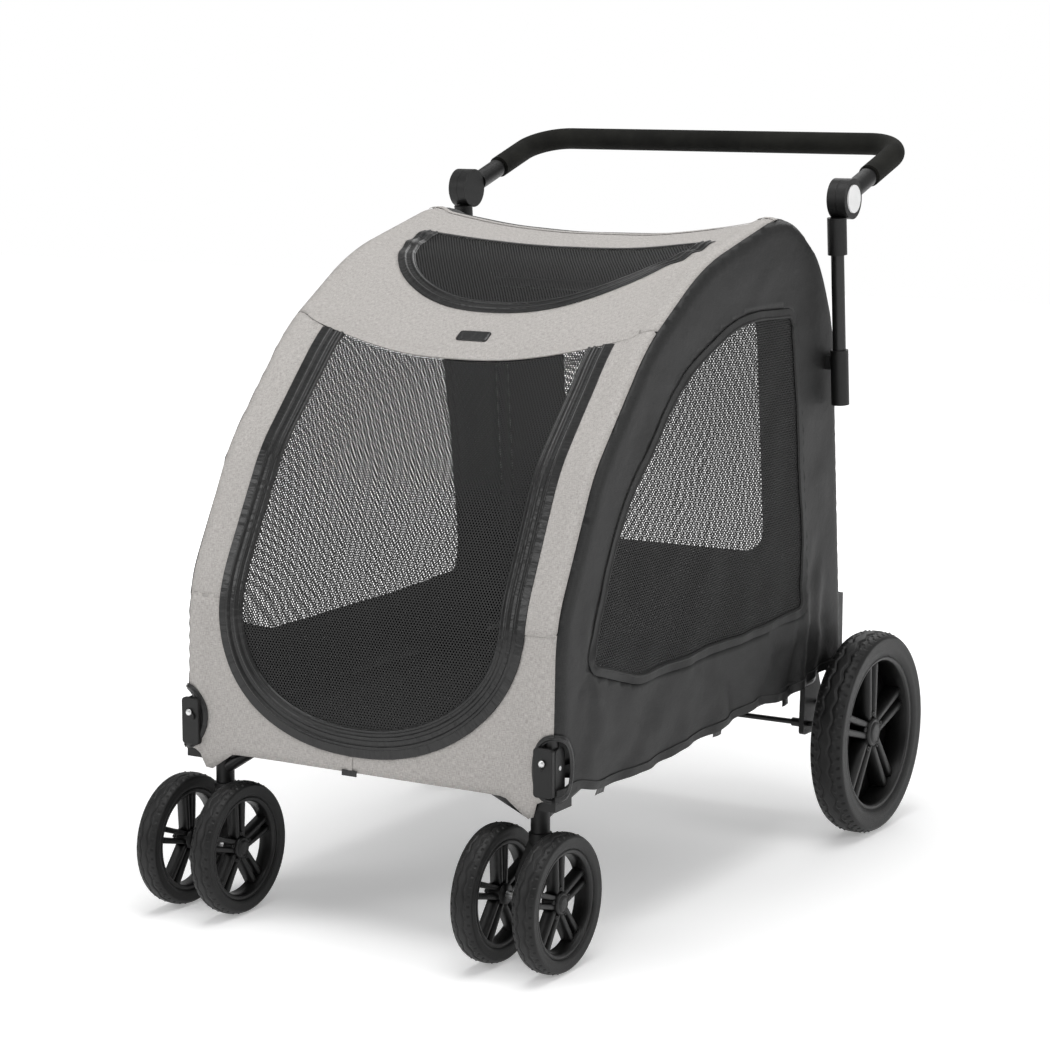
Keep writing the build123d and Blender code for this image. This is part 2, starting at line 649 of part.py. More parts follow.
def caster_fork(side):
    """Caster body between the twin wheels: stem, crown, and arm down to the axle boss."""
    x, axle_y, axle_z = side * CASTER_X, CASTER_Y + CASTER_TRAIL, FRONT_WHEEL["radius"]
    near, far = x - FORK_HALF, x + FORK_HALF
    with BuildPart() as fork:
        add(rod((x, CASTER_Y, FORK_TOP), (x, CASTER_Y, HEAD_HIGH - 5), STEM_RADIUS))
        add(rod((x, CASTER_Y, CROWN_LOW), (x, CASTER_Y, HEAD_LOW - 0.5), CROWN_RADIUS))
        with BuildSketch(Plane.YZ.offset(near)):
            with BuildLine():
                Polyline(
                    (CASTER_Y - 8, FORK_TOP), (CASTER_Y + 8, FORK_TOP), (CASTER_Y + 4, FORK_WAIST),
                    (axle_y + 10, axle_z - 8), (axle_y - 10, axle_z), (axle_y - 9, FORK_WAIST + 8),
                    (CASTER_Y - 8, FORK_TOP),
                )
            make_face()
        extrude(amount=2 * FORK_HALF)
        add(rod((near, axle_y, axle_z), (far, axle_y, axle_z), AXLE_BOSS))
        bore = rod((near - 1, axle_y, axle_z), (far + 1, axle_y, axle_z), CASTER_AXLE + PIN_CLEARANCE)
        add(bore, mode=Mode.SUBTRACT)
    return fork.part


def caster_axle(side):
    """Axle pin through the fork and both of the caster's wheels."""
    x, y, z = side * CASTER_X, CASTER_Y + CASTER_TRAIL, FRONT_WHEEL["radius"]
    reach = TWIN_OFFSET + 1
    return rod((x - reach, y, z), (x + reach, y, z), CASTER_AXLE)


# --- write every piece ---------------------------------------------------------------------

save(base_loop(), "base_loop")
save(front_cross_tube(), "front_cross_tube")
save(fold_pins(), "fold_pins")
save(rear_axle(), "rear_axle")
save(floor_board(), "floor_board")
save(floor_mat(), "floor_mat")
save(rear_panel_lower(), "rear_panel_lower")
save(spreader(), "arch_spreader")
save(hood(), "hood")
save(front_surround(), "front_surround")
save(rear_panel_upper(), "rear_panel_upper")
save(front_door(), "front_door")
save(skylight_panel(), "skylight_panel")
save(handle_loop(36, HANDLE_TUBE, TUBE_WALL), "handle_bar")
save(handle_loop(95, GRIP_TUBE, (GRIP_TUBE - HANDLE_TUBE) / 2 - 0.1), "handle_grip")
save(post_pins(), "post_pins")

for name, side in SIDES:
    save(front_corner(side), f"front_corner_{name}")
    save(rear_corner(side), f"rear_corner_{name}")
    save(front_lock(side), f"front_lock_{name}")
    save(axle_bracket(side), f"axle_bracket_{name}")
    save(brake_lever(side), f"brake_lever_{name}")
    save(side_panel_lower(side), f"side_panel_lower_{name}")
    save(rear_leg(side), f"rear_leg_{name}")
    save(arch_tube(side), f"arch_tube_{name}")
    save(post_catch(side), f"post_catch_{name}")
    save(side_panel_upper(side), f"side_panel_upper_{name}")
    save(handle_post(side), f"handle_post_{name}")
    save(handle_knuckle(side), f"handle_knuckle_{name}")
    save(handle_hub(side), f"handle_hub_{name}")
    save(tilt_button(side), f"tilt_button_{name}")
    save(caster_fork(side), f"caster_fork_{name}")
    save(caster_axle(side), f"caster_axle_{name}")
    rear = (side * REAR_WHEEL["x"], REAR_WHEEL["y"], REAR_WHEEL["radius"])
    save(tyre(rear, REAR_WHEEL, REAR_WHEEL["opening"] + 3.2), f"rear_tyre_{name}")
    save(rim(rear, REAR_WHEEL, side, AXLE_RADIUS, 13), f"rear_rim_{name}")
    for place, step in (("inner", -side), ("outer", side)):
        front = (side * CASTER_X + step * TWIN_OFFSET, CASTER_Y + CASTER_TRAIL, FRONT_WHEEL["radius"])
        save(tyre(front, FRONT_WHEEL, FRONT_WHEEL["opening"] + 3.2), f"front_tyre_{name}_{place}")
        save(rim(front, FRONT_WHEEL, step, CASTER_AXLE, 8), f"front_rim_{name}_{place}")
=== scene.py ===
import math

import bpy
import numpy as np
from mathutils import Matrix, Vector, geometry, noise


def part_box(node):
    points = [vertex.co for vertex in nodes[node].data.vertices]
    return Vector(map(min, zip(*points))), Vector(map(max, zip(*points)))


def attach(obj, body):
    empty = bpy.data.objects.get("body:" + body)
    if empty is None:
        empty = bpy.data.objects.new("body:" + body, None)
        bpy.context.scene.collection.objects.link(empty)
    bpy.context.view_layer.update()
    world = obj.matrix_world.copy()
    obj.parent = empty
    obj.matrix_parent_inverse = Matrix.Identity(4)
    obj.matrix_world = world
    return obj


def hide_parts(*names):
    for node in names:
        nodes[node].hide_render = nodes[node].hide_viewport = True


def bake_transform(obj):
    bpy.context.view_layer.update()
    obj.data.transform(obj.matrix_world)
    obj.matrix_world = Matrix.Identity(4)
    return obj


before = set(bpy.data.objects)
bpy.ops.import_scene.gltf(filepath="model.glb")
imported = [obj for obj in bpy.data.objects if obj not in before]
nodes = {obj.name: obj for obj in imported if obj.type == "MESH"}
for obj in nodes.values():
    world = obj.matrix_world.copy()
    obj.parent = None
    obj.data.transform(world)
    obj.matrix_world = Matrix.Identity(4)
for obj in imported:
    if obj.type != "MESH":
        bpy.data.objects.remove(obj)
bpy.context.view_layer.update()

# ------------------------------------------------------------------------------------------
# The studio: a white surround, a large soft light overhead with three softer ones round the
# stroller, and a long lens that looks slightly down on it from the front right.
# ------------------------------------------------------------------------------------------


def place_camera(spot, azimuth, pitch, lens):
    data = bpy.data.cameras.new("studio_camera")
    data.lens, data.sensor_width = lens, 36
    camera = bpy.data.objects.new("studio_camera", data)
    camera.location = spot
    camera.rotation_euler = (math.radians(90 - pitch), 0, math.radians(azimuth))
    bpy.context.scene.collection.objects.link(camera)
    bpy.context.scene.camera = camera


def soft_light(name, spot, target, size, power):
    data = bpy.data.lights.new(name, "AREA")
    data.shape, data.size, data.energy = "DISK", size, power
    lamp = bpy.data.objects.new(name, data)
    lamp.location = spot
    lamp.rotation_euler = (Vector(target) - Vector(spot)).to_track_quat("-Z", "Y").to_euler()
    bpy.context.scene.collection.objects.link(lamp)


place_camera(spot=(2.0602, -3.4524, 1.1457), azimuth=31.166, pitch=9.373, lens=98.43)
CABIN_MIDDLE = (0, 0, 0.45)
soft_light("overhead", (0.2, -0.6, 3.6), CABIN_MIDDLE, size=2.6, power=66)
soft_light("left_front", (-2.6, -3.4, 2.4), CABIN_MIDDLE, size=2.0, power=36)
soft_light("right_side", (4.0, -0.4, 2.4), CABIN_MIDDLE, size=1.8, power=34)
soft_light("back", (-0.6, 3.4, 2.6), CABIN_MIDDLE, size=2.4, power=24)

surround = bpy.data.worlds.new("surround")
surround.use_nodes = True
sky, wires = surround.node_tree.nodes, surround.node_tree.links
sky["Background"].inputs["Strength"].default_value = 0.42
backdrop = sky.new("ShaderNodeBackground")
seen, share = sky.new("ShaderNodeLightPath"), sky.new("ShaderNodeMixShader")
sky["Background"].inputs["Color"].default_value = backdrop.inputs["Color"].default_value = (1, 1, 1, 1)
wires.new(seen.outputs["Is Camera Ray"], share.inputs["Fac"])
wires.new(sky["Background"].outputs[0], share.inputs[1])
wires.new(backdrop.outputs[0], share.inputs[2])
wires.new(share.outputs[0], sky["World Output"].inputs["Surface"])
bpy.context.scene.world = surround
bpy.context.scene.view_settings.view_transform = "Standard"

# ------------------------------------------------------------------------------------------
# The tube frame: bent steel tube in satin black powder coat, with a fine orange-peel skin.
# The bottom loop, cross tube, arches, legs, spreader, handle and rear axle are all of it.
# ------------------------------------------------------------------------------------------


class Wire:
    """One shader value: sums and products of wires add the Math nodes that they need."""

    def __init__(self, finish, socket):
        self.finish, self.socket = finish, socket

    def maths(self, operation, *values):
        return self.finish.node("Math", {"operation": operation}, dict(enumerate(values)))

    def __add__(self, other):
        return self.maths("ADD", self, other)

    def __sub__(self, other):
        return self.maths("SUBTRACT", self, other)

    def __mul__(self, other):
        return self.maths("MULTIPLY", self, other)

    def __truediv__(self, other):
        return self.maths("DIVIDE", self, other)

    def __rsub__(self, other):
        return self.maths("SUBTRACT", other, self)

    def __rtruediv__(self, other):
        return self.maths("DIVIDE", other, self)

    __radd__, __rmul__ = __add__, __mul__

    def fraction(self):
        return self.maths("FRACT", self)

    def root(self):
        return self.maths("SQRT", self)

    def least(self, other):
        return self.maths("MINIMUM", self, other)

    def ramp(self, low, high):
        """0 below low, 1 above high, eased in between."""
        settings = {"interpolation_type": "SMOOTHSTEP"}
        return self.finish.node("MapRange", settings, {"Value": self, "From Min": low, "From Max": high})


class Finish:
    """One material and its Principled shader."""

    def __init__(self, name, constants=None):
        self.material = bpy.data.materials.new(name)
        self.material.use_nodes = True
        self.tree = self.material.node_tree
        self.shader = self.tree.nodes["Principled BSDF"]
        for key, value in (constants or {}).items():
            self.shader.inputs[key].default_value = value

    def node(self, kind, settings=None, sockets=None, out=0):
        made = self.tree.nodes.new("ShaderNode" + kind)
        for key, value in (settings or {}).items():
            setattr(made, key, value)
        for key, value in (sockets or {}).items():
            if isinstance(value, Wire):
                self.tree.links.new(value.socket, made.inputs[key])
            else:
                made.inputs[key].default_value = value
        return Wire(self, made.outputs[out])

    def feed(self, socket, wire):
        self.tree.links.new(wire.socket, self.shader.inputs[socket])

    def place(self):
        return self.node("TexCoord", out="Object")

    def flat(self):
        """The cloth's own flat coordinates, in metres."""
        return self.node("UVMap", {"uv_map": "cloth"})

    def noise(self, where, scale, detail=3.0, roughness=0.55):
        sockets = {"Vector": where, "Scale": scale, "Detail": detail, "Roughness": roughness}
        return self.node("TexNoise", None, sockets)

    def blend(self, share, low, high):
        """A colour between low and high; either may itself be a wire."""
        sockets = {"Factor": share, 6: low, 7: high}
        return self.node("Mix", {"data_type": "RGBA"}, sockets, out=2)

    def bump(self, height, distance, strength=1.0):
        sockets = {"Height": height, "Distance": distance, "Strength": strength}
        self.feed("Normal", self.node("Bump", None, sockets))


def grey(value):
    return (value, value, value, 1)


def coat(*names, material):
    """Give carried-over pieces of the frame their finish."""
    for name in names:
        node = nodes[name]
        node.data.materials.clear()
        node.data.materials.append(material)


def powder_coat():
    finish = Finish("powder_coat")
    where = finish.place()
    cloud = finish.noise(where, 9, 4)
    peel = finish.noise(where, 900, 2)
    finish.feed("Base Color", finish.blend(cloud.ramp(0.3, 0.75), grey(0.004), grey(0.009)))
    finish.feed("Roughness", cloud * 0.16 + 0.30)
    finish.bump(peel, 0.00012)
    return finish.material


tube_black = powder_coat()
coat("base_loop", "front_cross_tube", "arch_spreader", "rear_leg_left", "rear_leg_right",
     "arch_tube_left", "arch_tube_right", "handle_post_left", "handle_post_right", "handle_bar",
     "rear_axle", material=tube_black)

# ------------------------------------------------------------------------------------------
# Moulded fittings in black nylon with a fine spark texture: corners, catches, knuckles, forks,
# brackets and brakes. Pins, screws and caster axles are zinc-plated steel with light scuffs.
# ------------------------------------------------------------------------------------------


def nylon(name, tone, roughness):
    finish = Finish(name, {"Specular IOR Level": 0.35})
    where = finish.place()
    cloud = finish.noise(where, 14, 4)
    grain = finish.noise(where, 1500, 2)
    finish.feed("Base Color", finish.blend(cloud.ramp(0.35, 0.7), grey(tone), grey(tone * 1.7)))
    finish.feed("Roughness", cloud * 0.2 + (roughness - 0.1))
    finish.bump(grain, 0.0002)
    return finish.material


def zinc():
    finish = Finish("zinc_plate", {"Metallic": 1.0})
    where = finish.place()
    scuff = finish.noise(where, 60, 6, 0.7)
    finish.feed("Base Color", finish.blend(scuff.ramp(0.35, 0.7), grey(0.45), grey(0.78)))
    finish.feed("Roughness", scuff * 0.3 + 0.15)
    finish.bump(scuff, 0.0001)
    return finish.material


SIDES = (("left", -1), ("right", 1))
fitting_black = nylon("moulded_nylon", 0.005, 0.42)
bright_steel = zinc()
for name, _ in SIDES:
    coat(f"front_corner_{name}", f"rear_corner_{name}", f"front_lock_{name}", f"axle_bracket_{name}",
         f"brake_lever_{name}", f"post_catch_{name}", f"handle_knuckle_{name}", f"handle_hub_{name}",
         f"caster_fork_{name}", material=fitting_black)
    coat(f"caster_axle_{name}", material=bright_steel)
coat("fold_pins", "post_pins", material=bright_steel)

# ------------------------------------------------------------------------------------------
# The wheels: air-free rubber tyres with a wavy grooved centre band, raised dots beside it and
# notches on the shoulders, on moulded rims with five twin spokes and a round hub cap. The large
# rear rims have a dished web on their inner side.
# ------------------------------------------------------------------------------------------

TAU = 2 * math.pi


def mesh_piece(name, verts, faces, material, smooth=True, flat=None):
    """A mesh object from points and faces; flat gives each point's place on the flat cloth."""
    data = bpy.data.meshes.new(name)
    data.from_pydata([tuple(map(float, v)) for v in verts], [], [tuple(map(int, f)) for f in faces])
    data.validate()
    if flat is not None:
        layer = data.uv_layers.new(name="cloth")
        corners = np.zeros(len(data.loops), np.int32)
        data.loops.foreach_get("vertex_index", corners)
        layer.data.foreach_set("uv", np.asarray(flat, np.float32)[corners].ravel())
    data.polygons.foreach_set("use_smooth", [smooth] * len(data.polygons))
    data.materials.append(material)
    piece = bpy.data.objects.new(name, data)
    bpy.context.scene.collection.objects.link(piece)
    return piece


def grid_faces(rows, columns, wrap_rows=False, wrap_columns=False):
    """Quads over a rows by columns grid of points."""
    faces = []
    for i in range(rows if wrap_rows else rows - 1):
        for j in range(columns if wrap_columns else columns - 1):
            k, m = (i + 1) % rows, (j + 1) % columns
            faces.append((i * columns + j, i * columns + m, k * columns + m, k * columns + j))
    return faces


def join(parts):
    """Several (points, faces) groups as one."""
    verts, faces, start = [], [], 0
    for points, quads in parts:
        verts.extend(points)
        faces.extend(tuple(index + start for index in quad) for quad in quads)
        start += len(points)
    return verts, faces


def lathe(profile, turns=96, closed=False):
    """(points, faces) of a profile of (x along the axle, radius) turned about the X axis."""
    angles = np.arange(turns) * TAU / turns
    verts = [(x, -r * math.sin(a), r * math.cos(a)) for a in angles for x, r in profile]
    return verts, grid_faces(turns, len(profile), wrap_rows=True, wrap_columns=closed)


def tyre_points(size, waves, dots):
    """Tyre surface: a wavy grooved centre band, and dots and shoulder notches all round.

    Points across the section crowd towards the shoulders, where it is most curved.
    """
    turns, half, outer = waves * 24, size["width"] / 2, size["radius"]
    seat, shoulder = size["opening"] + 0.003, outer * 0.935
    groove_depth, band_rise, notch_depth, dot_rise = outer * np.array((0.016, 0.005, 0.014, 0.012))
    groove_half, dot_radius, dot_place = half * 0.06, half * 0.075, half * 0.50
    crowding = 1.48
    wall = [(0.97, 0.89), (0.9409, 0.85), (0.9409, 0.83), (0.873, 0.80)]
    verts = []
    for turn in range(turns):
        swing = abs((turn / turns * waves * 2) % 2 - 1)
        edge = half * (0.22 + 0.17 * swing * swing * (3 - 2 * swing))
        phase = (turn / turns * dots) % 1.0
        past_dot = (phase if phase < 0.5 else phase - 1.0) * TAU * outer / dots
        ring = []
        for u in np.linspace(-1, 1, 57):
            x = half * math.sin(u * crowding) / math.sin(crowding)
            out = abs(x)
            r = shoulder + (outer - shoulder) * math.sqrt(max(0.0, 1 - (out / half) ** 2.6))
            r -= groove_depth * math.exp(-((out - edge) / groove_half) ** 2)
            if out > edge:
                r -= band_rise
            if abs(phase - 0.5) < 0.09 and 0.64 < out / half < 0.86:
                r -= notch_depth
            r += dot_rise * math.exp(-(math.hypot(past_dot, out - dot_place) / dot_radius) ** 2)
            ring.append((x, r))
        ring += [(half * share_x, outer * share_r) for share_x, share_r in wall]
        ring += [(half * 0.80, seat), (-half * 0.80, seat)]
        ring += [(-half * share_x, outer * share_r) for share_x, share_r in reversed(wall)]
        a = turn * TAU / turns
        verts.extend((x, -r * math.sin(a), r * math.cos(a)) for x, r in ring)
    columns = len(verts) // turns
    return verts, grid_faces(turns, columns, wrap_rows=True, wrap_columns=True)


def spoke_pair(size, depth, angle):
    """Two deep bars side by side from the hub to the rim, with a narrow slot between them."""
    hub, steps, groups = size["hub"], 9, []
    start, reach = hub * 0.8, size["opening"] - 0.001 - hub * 0.8
    bevel, pinched = hub * 0.07, 0.6
    out, across = np.array((math.cos(angle), math.sin(angle))), np.array((-math.sin(angle), math.cos(angle)))
    for lean in (-1, 1):
        shares = np.linspace(0, 1, steps)
        middle = [out * (start + reach * t) + across * lean * hub * (0.38 + 0.16 * t) for t in shares]
        half = [across * hub * (0.22 + 0.05 * t) for t in shares]
        verts = []
        for level, pinch in ((0, pinched), (bevel, 1.0), (depth - bevel, 1.0), (depth, pinched)):
            outline = [m + h * pinch for m, h in zip(middle, half)]
            outline += [m - h * pinch for m, h in reversed(list(zip(middle, half)))]
            verts += [(level, y, z) for y, z in outline]
        count = 2 * steps
        faces = grid_faces(4, count, wrap_columns=True)
        for first in (0, 3 * count):
            for index in range(steps - 1):
                mate = count - 1 - index
                quad = (first + index, first + index + 1, first + mate - 1, first + mate)
                faces.append(quad if first else quad[::-1])
        groups.append((verts, faces))
    return groups


def rim_points(size, recess, web):
    """Rim: ring with a lip each side, twin spokes set in from the face, hub, cap, bolts and inner web."""
    half, opening, hub = size["width"] / 2, size["opening"], size["hub"]
    lip, face = half * 0.80, half - recess
    ring = [(-lip, opening + 0.0029), (-lip, opening - 0.002), (-lip + 0.002, opening - 0.004),
            (lip - 0.004, opening - 0.004), (lip - 0.001, opening - 0.002), (lip, opening + 0.0029)]
    groups = [lathe(ring, 120, closed=True)]
    barrel = [(-half, 0.001), (-half, hub * 0.9), (face - 0.006, hub), (face - 0.003, hub * 1.02),
              (face - 0.001, hub * 0.98), (face, hub * 0.9), (face + 0.0006, hub * 0.80),
              (face - 0.0006, hub * 0.76), (face + 0.0014, hub * 0.70), (face + 0.0022, hub * 0.4),
              (face + 0.0024, 0.0005)]
    groups.append(lathe(barrel, 72))
    if web:
        dish = [(-half * 0.62, hub * 0.8), (-half * 0.50, hub * 2.6), (-half * 0.66, opening - 0.002),
                (-half * 0.72, opening - 0.002), (-half * 0.56, hub * 2.6), (-half * 0.68, hub * 0.8)]
        groups.append(lathe(dish, 96, closed=True))
    for index in range(5):
        angle = index * TAU / 5 + math.radians(18)
        for verts, faces in spoke_pair(size, half * 1.05, angle):
            lift = face - half * 1.05 - 0.003
            groups.append(([(x + lift, y, z) for x, y, z in verts], faces))
        bolt = [(face - 0.004, hub * 0.19), (face - 0.0022, hub * 0.17), (face - 0.0022, hub * 0.09),
                (face - 0.0040, hub * 0.08)]
        pin, quads = lathe(bolt, 16)
        reach = hub * 1.30
        shift = (0.0, reach * math.cos(angle), reach * math.sin(angle))
        groups.append(([(x + shift[0], y + shift[1], z + shift[2]) for x, y, z in pin], quads))
    return join(groups)


def rubber():
    finish = Finish("tyre_rubber", {"Specular IOR Level": 0.3})
    where = finish.place()
    cloud = finish.noise(where, 22, 5)
    grain = finish.noise(where, 1800, 2)
    scuff = finish.noise(where, 160, 4, 0.7)
    finish.feed("Base Color", finish.blend(cloud.ramp(0.3, 0.75), grey(0.006), grey(0.013)))
    finish.feed("Roughness", cloud * 0.15 + scuff * 0.12 + 0.33)
    finish.bump(grain * 0.4 + scuff * 0.6, 0.0003)
    return finish.material


tyre_black = rubber()
rim_black = nylon("rim_nylon", 0.004, 0.34)
REAR = {"radius": 0.150, "width": 0.051, "opening": 0.111, "hub": 0.021}
FRONT = {"radius": 0.090, "width": 0.032, "opening": 0.067, "hub": 0.0145}


def wheel(label, body, node_tail, centre, size, out, tread, rim):
    """One wheel: tread and rim share their meshes, out is the side that its face looks to."""
    for kind, mesh, slot in (("tyre", tread, "tyre_rubber"), ("rim", rim, "rim_plastic")):
        piece = bpy.data.objects.new(f"{label}_{kind}_skin", mesh.data)
        bpy.context.scene.collection.objects.link(piece)
        piece.location = centre
        piece.rotation_euler = (0, 0, 0 if out > 0 else math.pi)
        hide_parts(node_tail.replace("*", kind))
        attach(piece, body)


def pattern(name, points, material):
    """A mesh to be shared by several wheels."""
    piece = mesh_piece(name, *points, material)
    bpy.context.scene.collection.objects.unlink(piece)
    return piece


rear_tread = pattern("rear_tread", tyre_points(REAR, 30, 60), tyre_black)
front_tread = pattern("front_tread", tyre_points(FRONT, 22, 44), tyre_black)
rear_rim = pattern("rear_rim_form", rim_points(REAR, 0.013, web=True), rim_black)
front_rim = pattern("front_rim_form", rim_points(FRONT, 0.008, web=False), rim_black)


def middle_of(node):
    low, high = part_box(node)
    return [(a + b) / 2 for a, b in zip(low, high)]


for name, side in SIDES:
    wheel(f"rear_{name}", f"rear_wheel_{name}", f"rear_*_{name}", middle_of(f"rear_tyre_{name}"), REAR,
          side, rear_tread, rear_rim)
    for place, out in (("inner", -side), ("outer", side)):
        wheel(f"front_{name}_{place}", f"front_wheel_{name}_{place}", f"front_*_{name}_{place}",
              middle_of(f"front_tyre_{name}_{place}"), FRONT, out, front_tread, front_rim)

# ------------------------------------------------------------------------------------------
# The cover's form: cloth stretched over the two arches. Seen from the side it follows one
# rounded outline from the front hem over the top to the rear hem. Across, it lies flat between
# the arches with a slight dip behind each tube, rolls over the tube and falls down the sides.
# ------------------------------------------------------------------------------------------

EDGE, ROLL, FALL = 0.276, 0.0175, 0.2935
SEAM_TURN = math.radians(32)
SEAM = EDGE + ROLL * SEAM_TURN
PIVOT = (-0.440, 0.2606)
HEM_REAR = 0.237


def rounded(corners, radii, closed=False, step=0.004):
    """Points of a flat polyline with its corners rounded off."""
    corners = [np.array(corner, float) for corner in corners]
    count, points = len(corners), []
    for index, corner in enumerate(corners):
        if not closed and index in (0, count - 1):
            points.append(corner)
            continue
        before, after = corners[index - 1] - corner, corners[(index + 1) % count] - corner
        reach_a, reach_b = np.linalg.norm(before), np.linalg.norm(after)
        before, after = before / reach_a, after / reach_b
        radius = radii[index if closed else index - 1]
        half = math.acos(np.clip(before @ after, -1, 1)) / 2
        inward = (before + after) / max(np.linalg.norm(before + after), 1e-9)
        centre = corner + inward * radius / math.sin(half)
        start, end = corner + before * radius / math.tan(half), corner + after * radius / math.tan(half)
        a0 = math.atan2(*(start - centre)[::-1])
        turn = (math.atan2(*(end - centre)[::-1]) - a0 + math.pi) % TAU - math.pi
        pieces = max(2, int(abs(turn) * radius / step) + 1)
        for piece in range(pieces + 1):
            a = a0 + turn * piece / pieces
            points.append(centre + radius * np.array((math.cos(a), math.sin(a))))
    return np.array(points)


def spaced(line, step, closed=False):
    """The same line with its points about step apart."""
    line = np.asarray(line, float)
    if closed:
        line = np.vstack([line, line[:1]])
    far = np.concatenate([[0], np.cumsum(np.linalg.norm(np.diff(line, axis=0), axis=1))])
    count = max(3, int(round(far[-1] / step)))
    at = np.linspace(0, far[-1], count + 1)[: count if closed else count + 1]
    return np.stack([np.interp(at, far, line[:, axis]) for axis in range(line.shape[1])], axis=1)


profile = spaced(rounded(
    [(-0.4552, 0.180), (-0.446, 0.440), (-0.352, 0.622), (-0.215, 0.772), (-0.060, 0.866),
     (0.190, 0.928), (0.298, 0.853), (0.345, 0.750), (0.391, 0.235)],
    [0.20, 0.25, 0.30, 0.40, 0.15, 0.15, 0.20]), 0.003)
run = np.concatenate([[0], np.cumsum(np.linalg.norm(np.diff(profile, axis=0), axis=1))])
tangent = np.gradient(profile, run, axis=0)
outward = np.stack([-tangent[:, 1], tangent[:, 0]], axis=1)
crest = int(np.argmax(profile[:, 1]))


def run_at_depth(y):
    """How far along the profile the point of the front or top at depth y lies."""
    return np.interp(y, profile[:crest + 1, 0], run[:crest + 1])


def run_at_front(z):
    return np.interp(z, profile[:crest + 1, 1], run[:crest + 1])


def run_at_rear(z):
    return np.interp(z, profile[crest:, 1][::-1], run[crest:][::-1])


def ease(value):
    value = np.clip(value, 0, 1)
    return value * value * (3 - 2 * value)


def ripple(points, size, seed):
    """Smooth uneven values from -1 to 1 over flat points, in folds about size apart."""
    return np.array([noise.noise(Vector((u / size + seed, v / size, seed * 1.7))) for u, v in points]) * 1.8


DIP_AT = [0.0, run_at_front(0.55), run_at_depth(-0.236), run_at_depth(0.06), run_at_depth(0.138),
          run_at_depth(0.185), run_at_rear(0.82), run_at_rear(0.60), run[-1]]
DIP = [0.0, 0.002, 0.010, 0.022, 0.026, 0.025, 0.006, 0.003, 0.001]


def corner_swell(across, along):
    """How much the cloth stands off over the front corner castings, 0 to 1."""
    return np.exp(-((along - 0.040) / 0.030) ** 2) * ease((across - 0.20) / 0.05)


def gathers(x, along):
    """Small pleats that run in from the seams at the shoulders of the hood."""
    near = np.exp(-((along - run_at_depth(-0.02)) / 0.11) ** 2) * ease((np.abs(x) - 0.17) / 0.08)
    return near * np.sin(along / 0.0105 + 2.2 * np.sin(along / 0.037)) * ease((0.275 - np.abs(x)) / 0.02)


def place_band(flat, lift=0.0):
    """Band of the cover between the side seams: flat points (x, run) to their place in space."""
    flat = np.asarray(flat, float)
    x, along = flat[:, 0], flat[:, 1]
    across = np.clip(np.abs(x) / 0.262, 0, 1)
    depth = 0.005 * ease((0.268 - np.abs(x)) / 0.018)
    depth += np.interp(along, run, np.interp(run, DIP_AT, DIP)) * (1 - across ** 2.2)
    depth += 0.0012 * ripple(flat, 0.11, 3.1) * (1 - across ** 8)
    turn = np.clip((np.abs(x) - EDGE) / ROLL, 0, math.pi / 2)
    depth += ROLL * (1 - np.cos(turn)) - 0.0022 * corner_swell(np.abs(x), along) * (np.abs(x) > 0.2)
    depth += 0.0022 * gathers(x, along)
    x = np.where(turn > 0, np.copysign(EDGE + (ROLL + lift) * np.sin(turn), x), x)
    depth -= lift * np.cos(turn)
    spot = np.stack([np.interp(along, run, profile[:, axis]) for axis in (0, 1)], axis=1)
    facing = np.stack([np.interp(along, run, outward[:, axis]) for axis in (0, 1)], axis=1)
    return np.column_stack([x, spot - facing * depth[:, None]])


def fan(off):
    """Folds that spread from a corner of the side window."""
    far = np.linalg.norm(off, axis=1)
    turn = np.arctan2(off[:, 1], off[:, 0])
    return np.cos(7 * turn + 14 * far) * np.exp(-far / 0.075) * ease(far / 0.03)


def pleats(flat):
    """Slack upright folds below the rear end of the side window."""
    lean = flat[:, 0] - 0.20 * (flat[:, 1] - 0.25)
    near = np.exp(-((lean - 0.255) / 0.055) ** 2) * ease((0.47 - flat[:, 1]) / 0.16)
    return near * np.sin(lean / 0.0072 + 1.4 * np.sin(flat[:, 1] / 0.05))


def place_side(side):
    """Side of the cover: flat points (y, z), with the roll over the tube laid out beyond the outline."""
    grown = ROLL * (math.pi / 2 - 1)

    def place(flat, lift=0.0):
        flat = np.asarray(flat, float)
        gaps = flat[:, None, :] - profile[None, ::2, :]
        nearest = np.argmin((gaps ** 2).sum(axis=2), axis=1) * 2
        nearest = np.minimum(nearest, len(profile) - 1)
        off = flat - profile[nearest]
        inside = -(off * outward[nearest]).sum(axis=1) + grown
        angle = np.clip(inside / ROLL, 0, math.pi / 2)
        rolled = inside < ROLL * math.pi / 2
        level = np.where(rolled[:, None],
                         profile[nearest] + off + outward[nearest] * (inside - grown)[:, None]
                         - outward[nearest] * (ROLL * (1 - np.cos(angle)))[:, None], flat)
        calm = ease((inside - 0.03) / 0.06)
        low = ease((0.42 - flat[:, 1]) / 0.2)
        folds = ripple(flat @ np.array([[1.0, 0.35], [-0.5, 1.0]]), 0.075, 7.3 + side)
        small = ripple(flat @ np.array([[0.7, 0.6], [-0.7, 1.3]]), 0.033, 1.9 + side)
        wave = (0.0019 + 0.0036 * low) * folds + 0.0014 * (0.3 + low) * small
        wave += 0.0026 * fan(flat - (-0.378, 0.372)) + 0.0032 * pleats(flat)
        swell = 0.0022 * np.exp(-((flat[:, 1] - 0.215) / 0.03) ** 2) * ease((-0.40 - flat[:, 0]) / 0.03)
        reach = FALL - ROLL + ROLL * np.sin(angle) + calm * wave + swell + lift * np.sin(angle)
        level = level + outward[nearest] * ((lift + swell) * np.cos(angle))[:, None]
        return np.column_stack([side * reach, level])

    return place


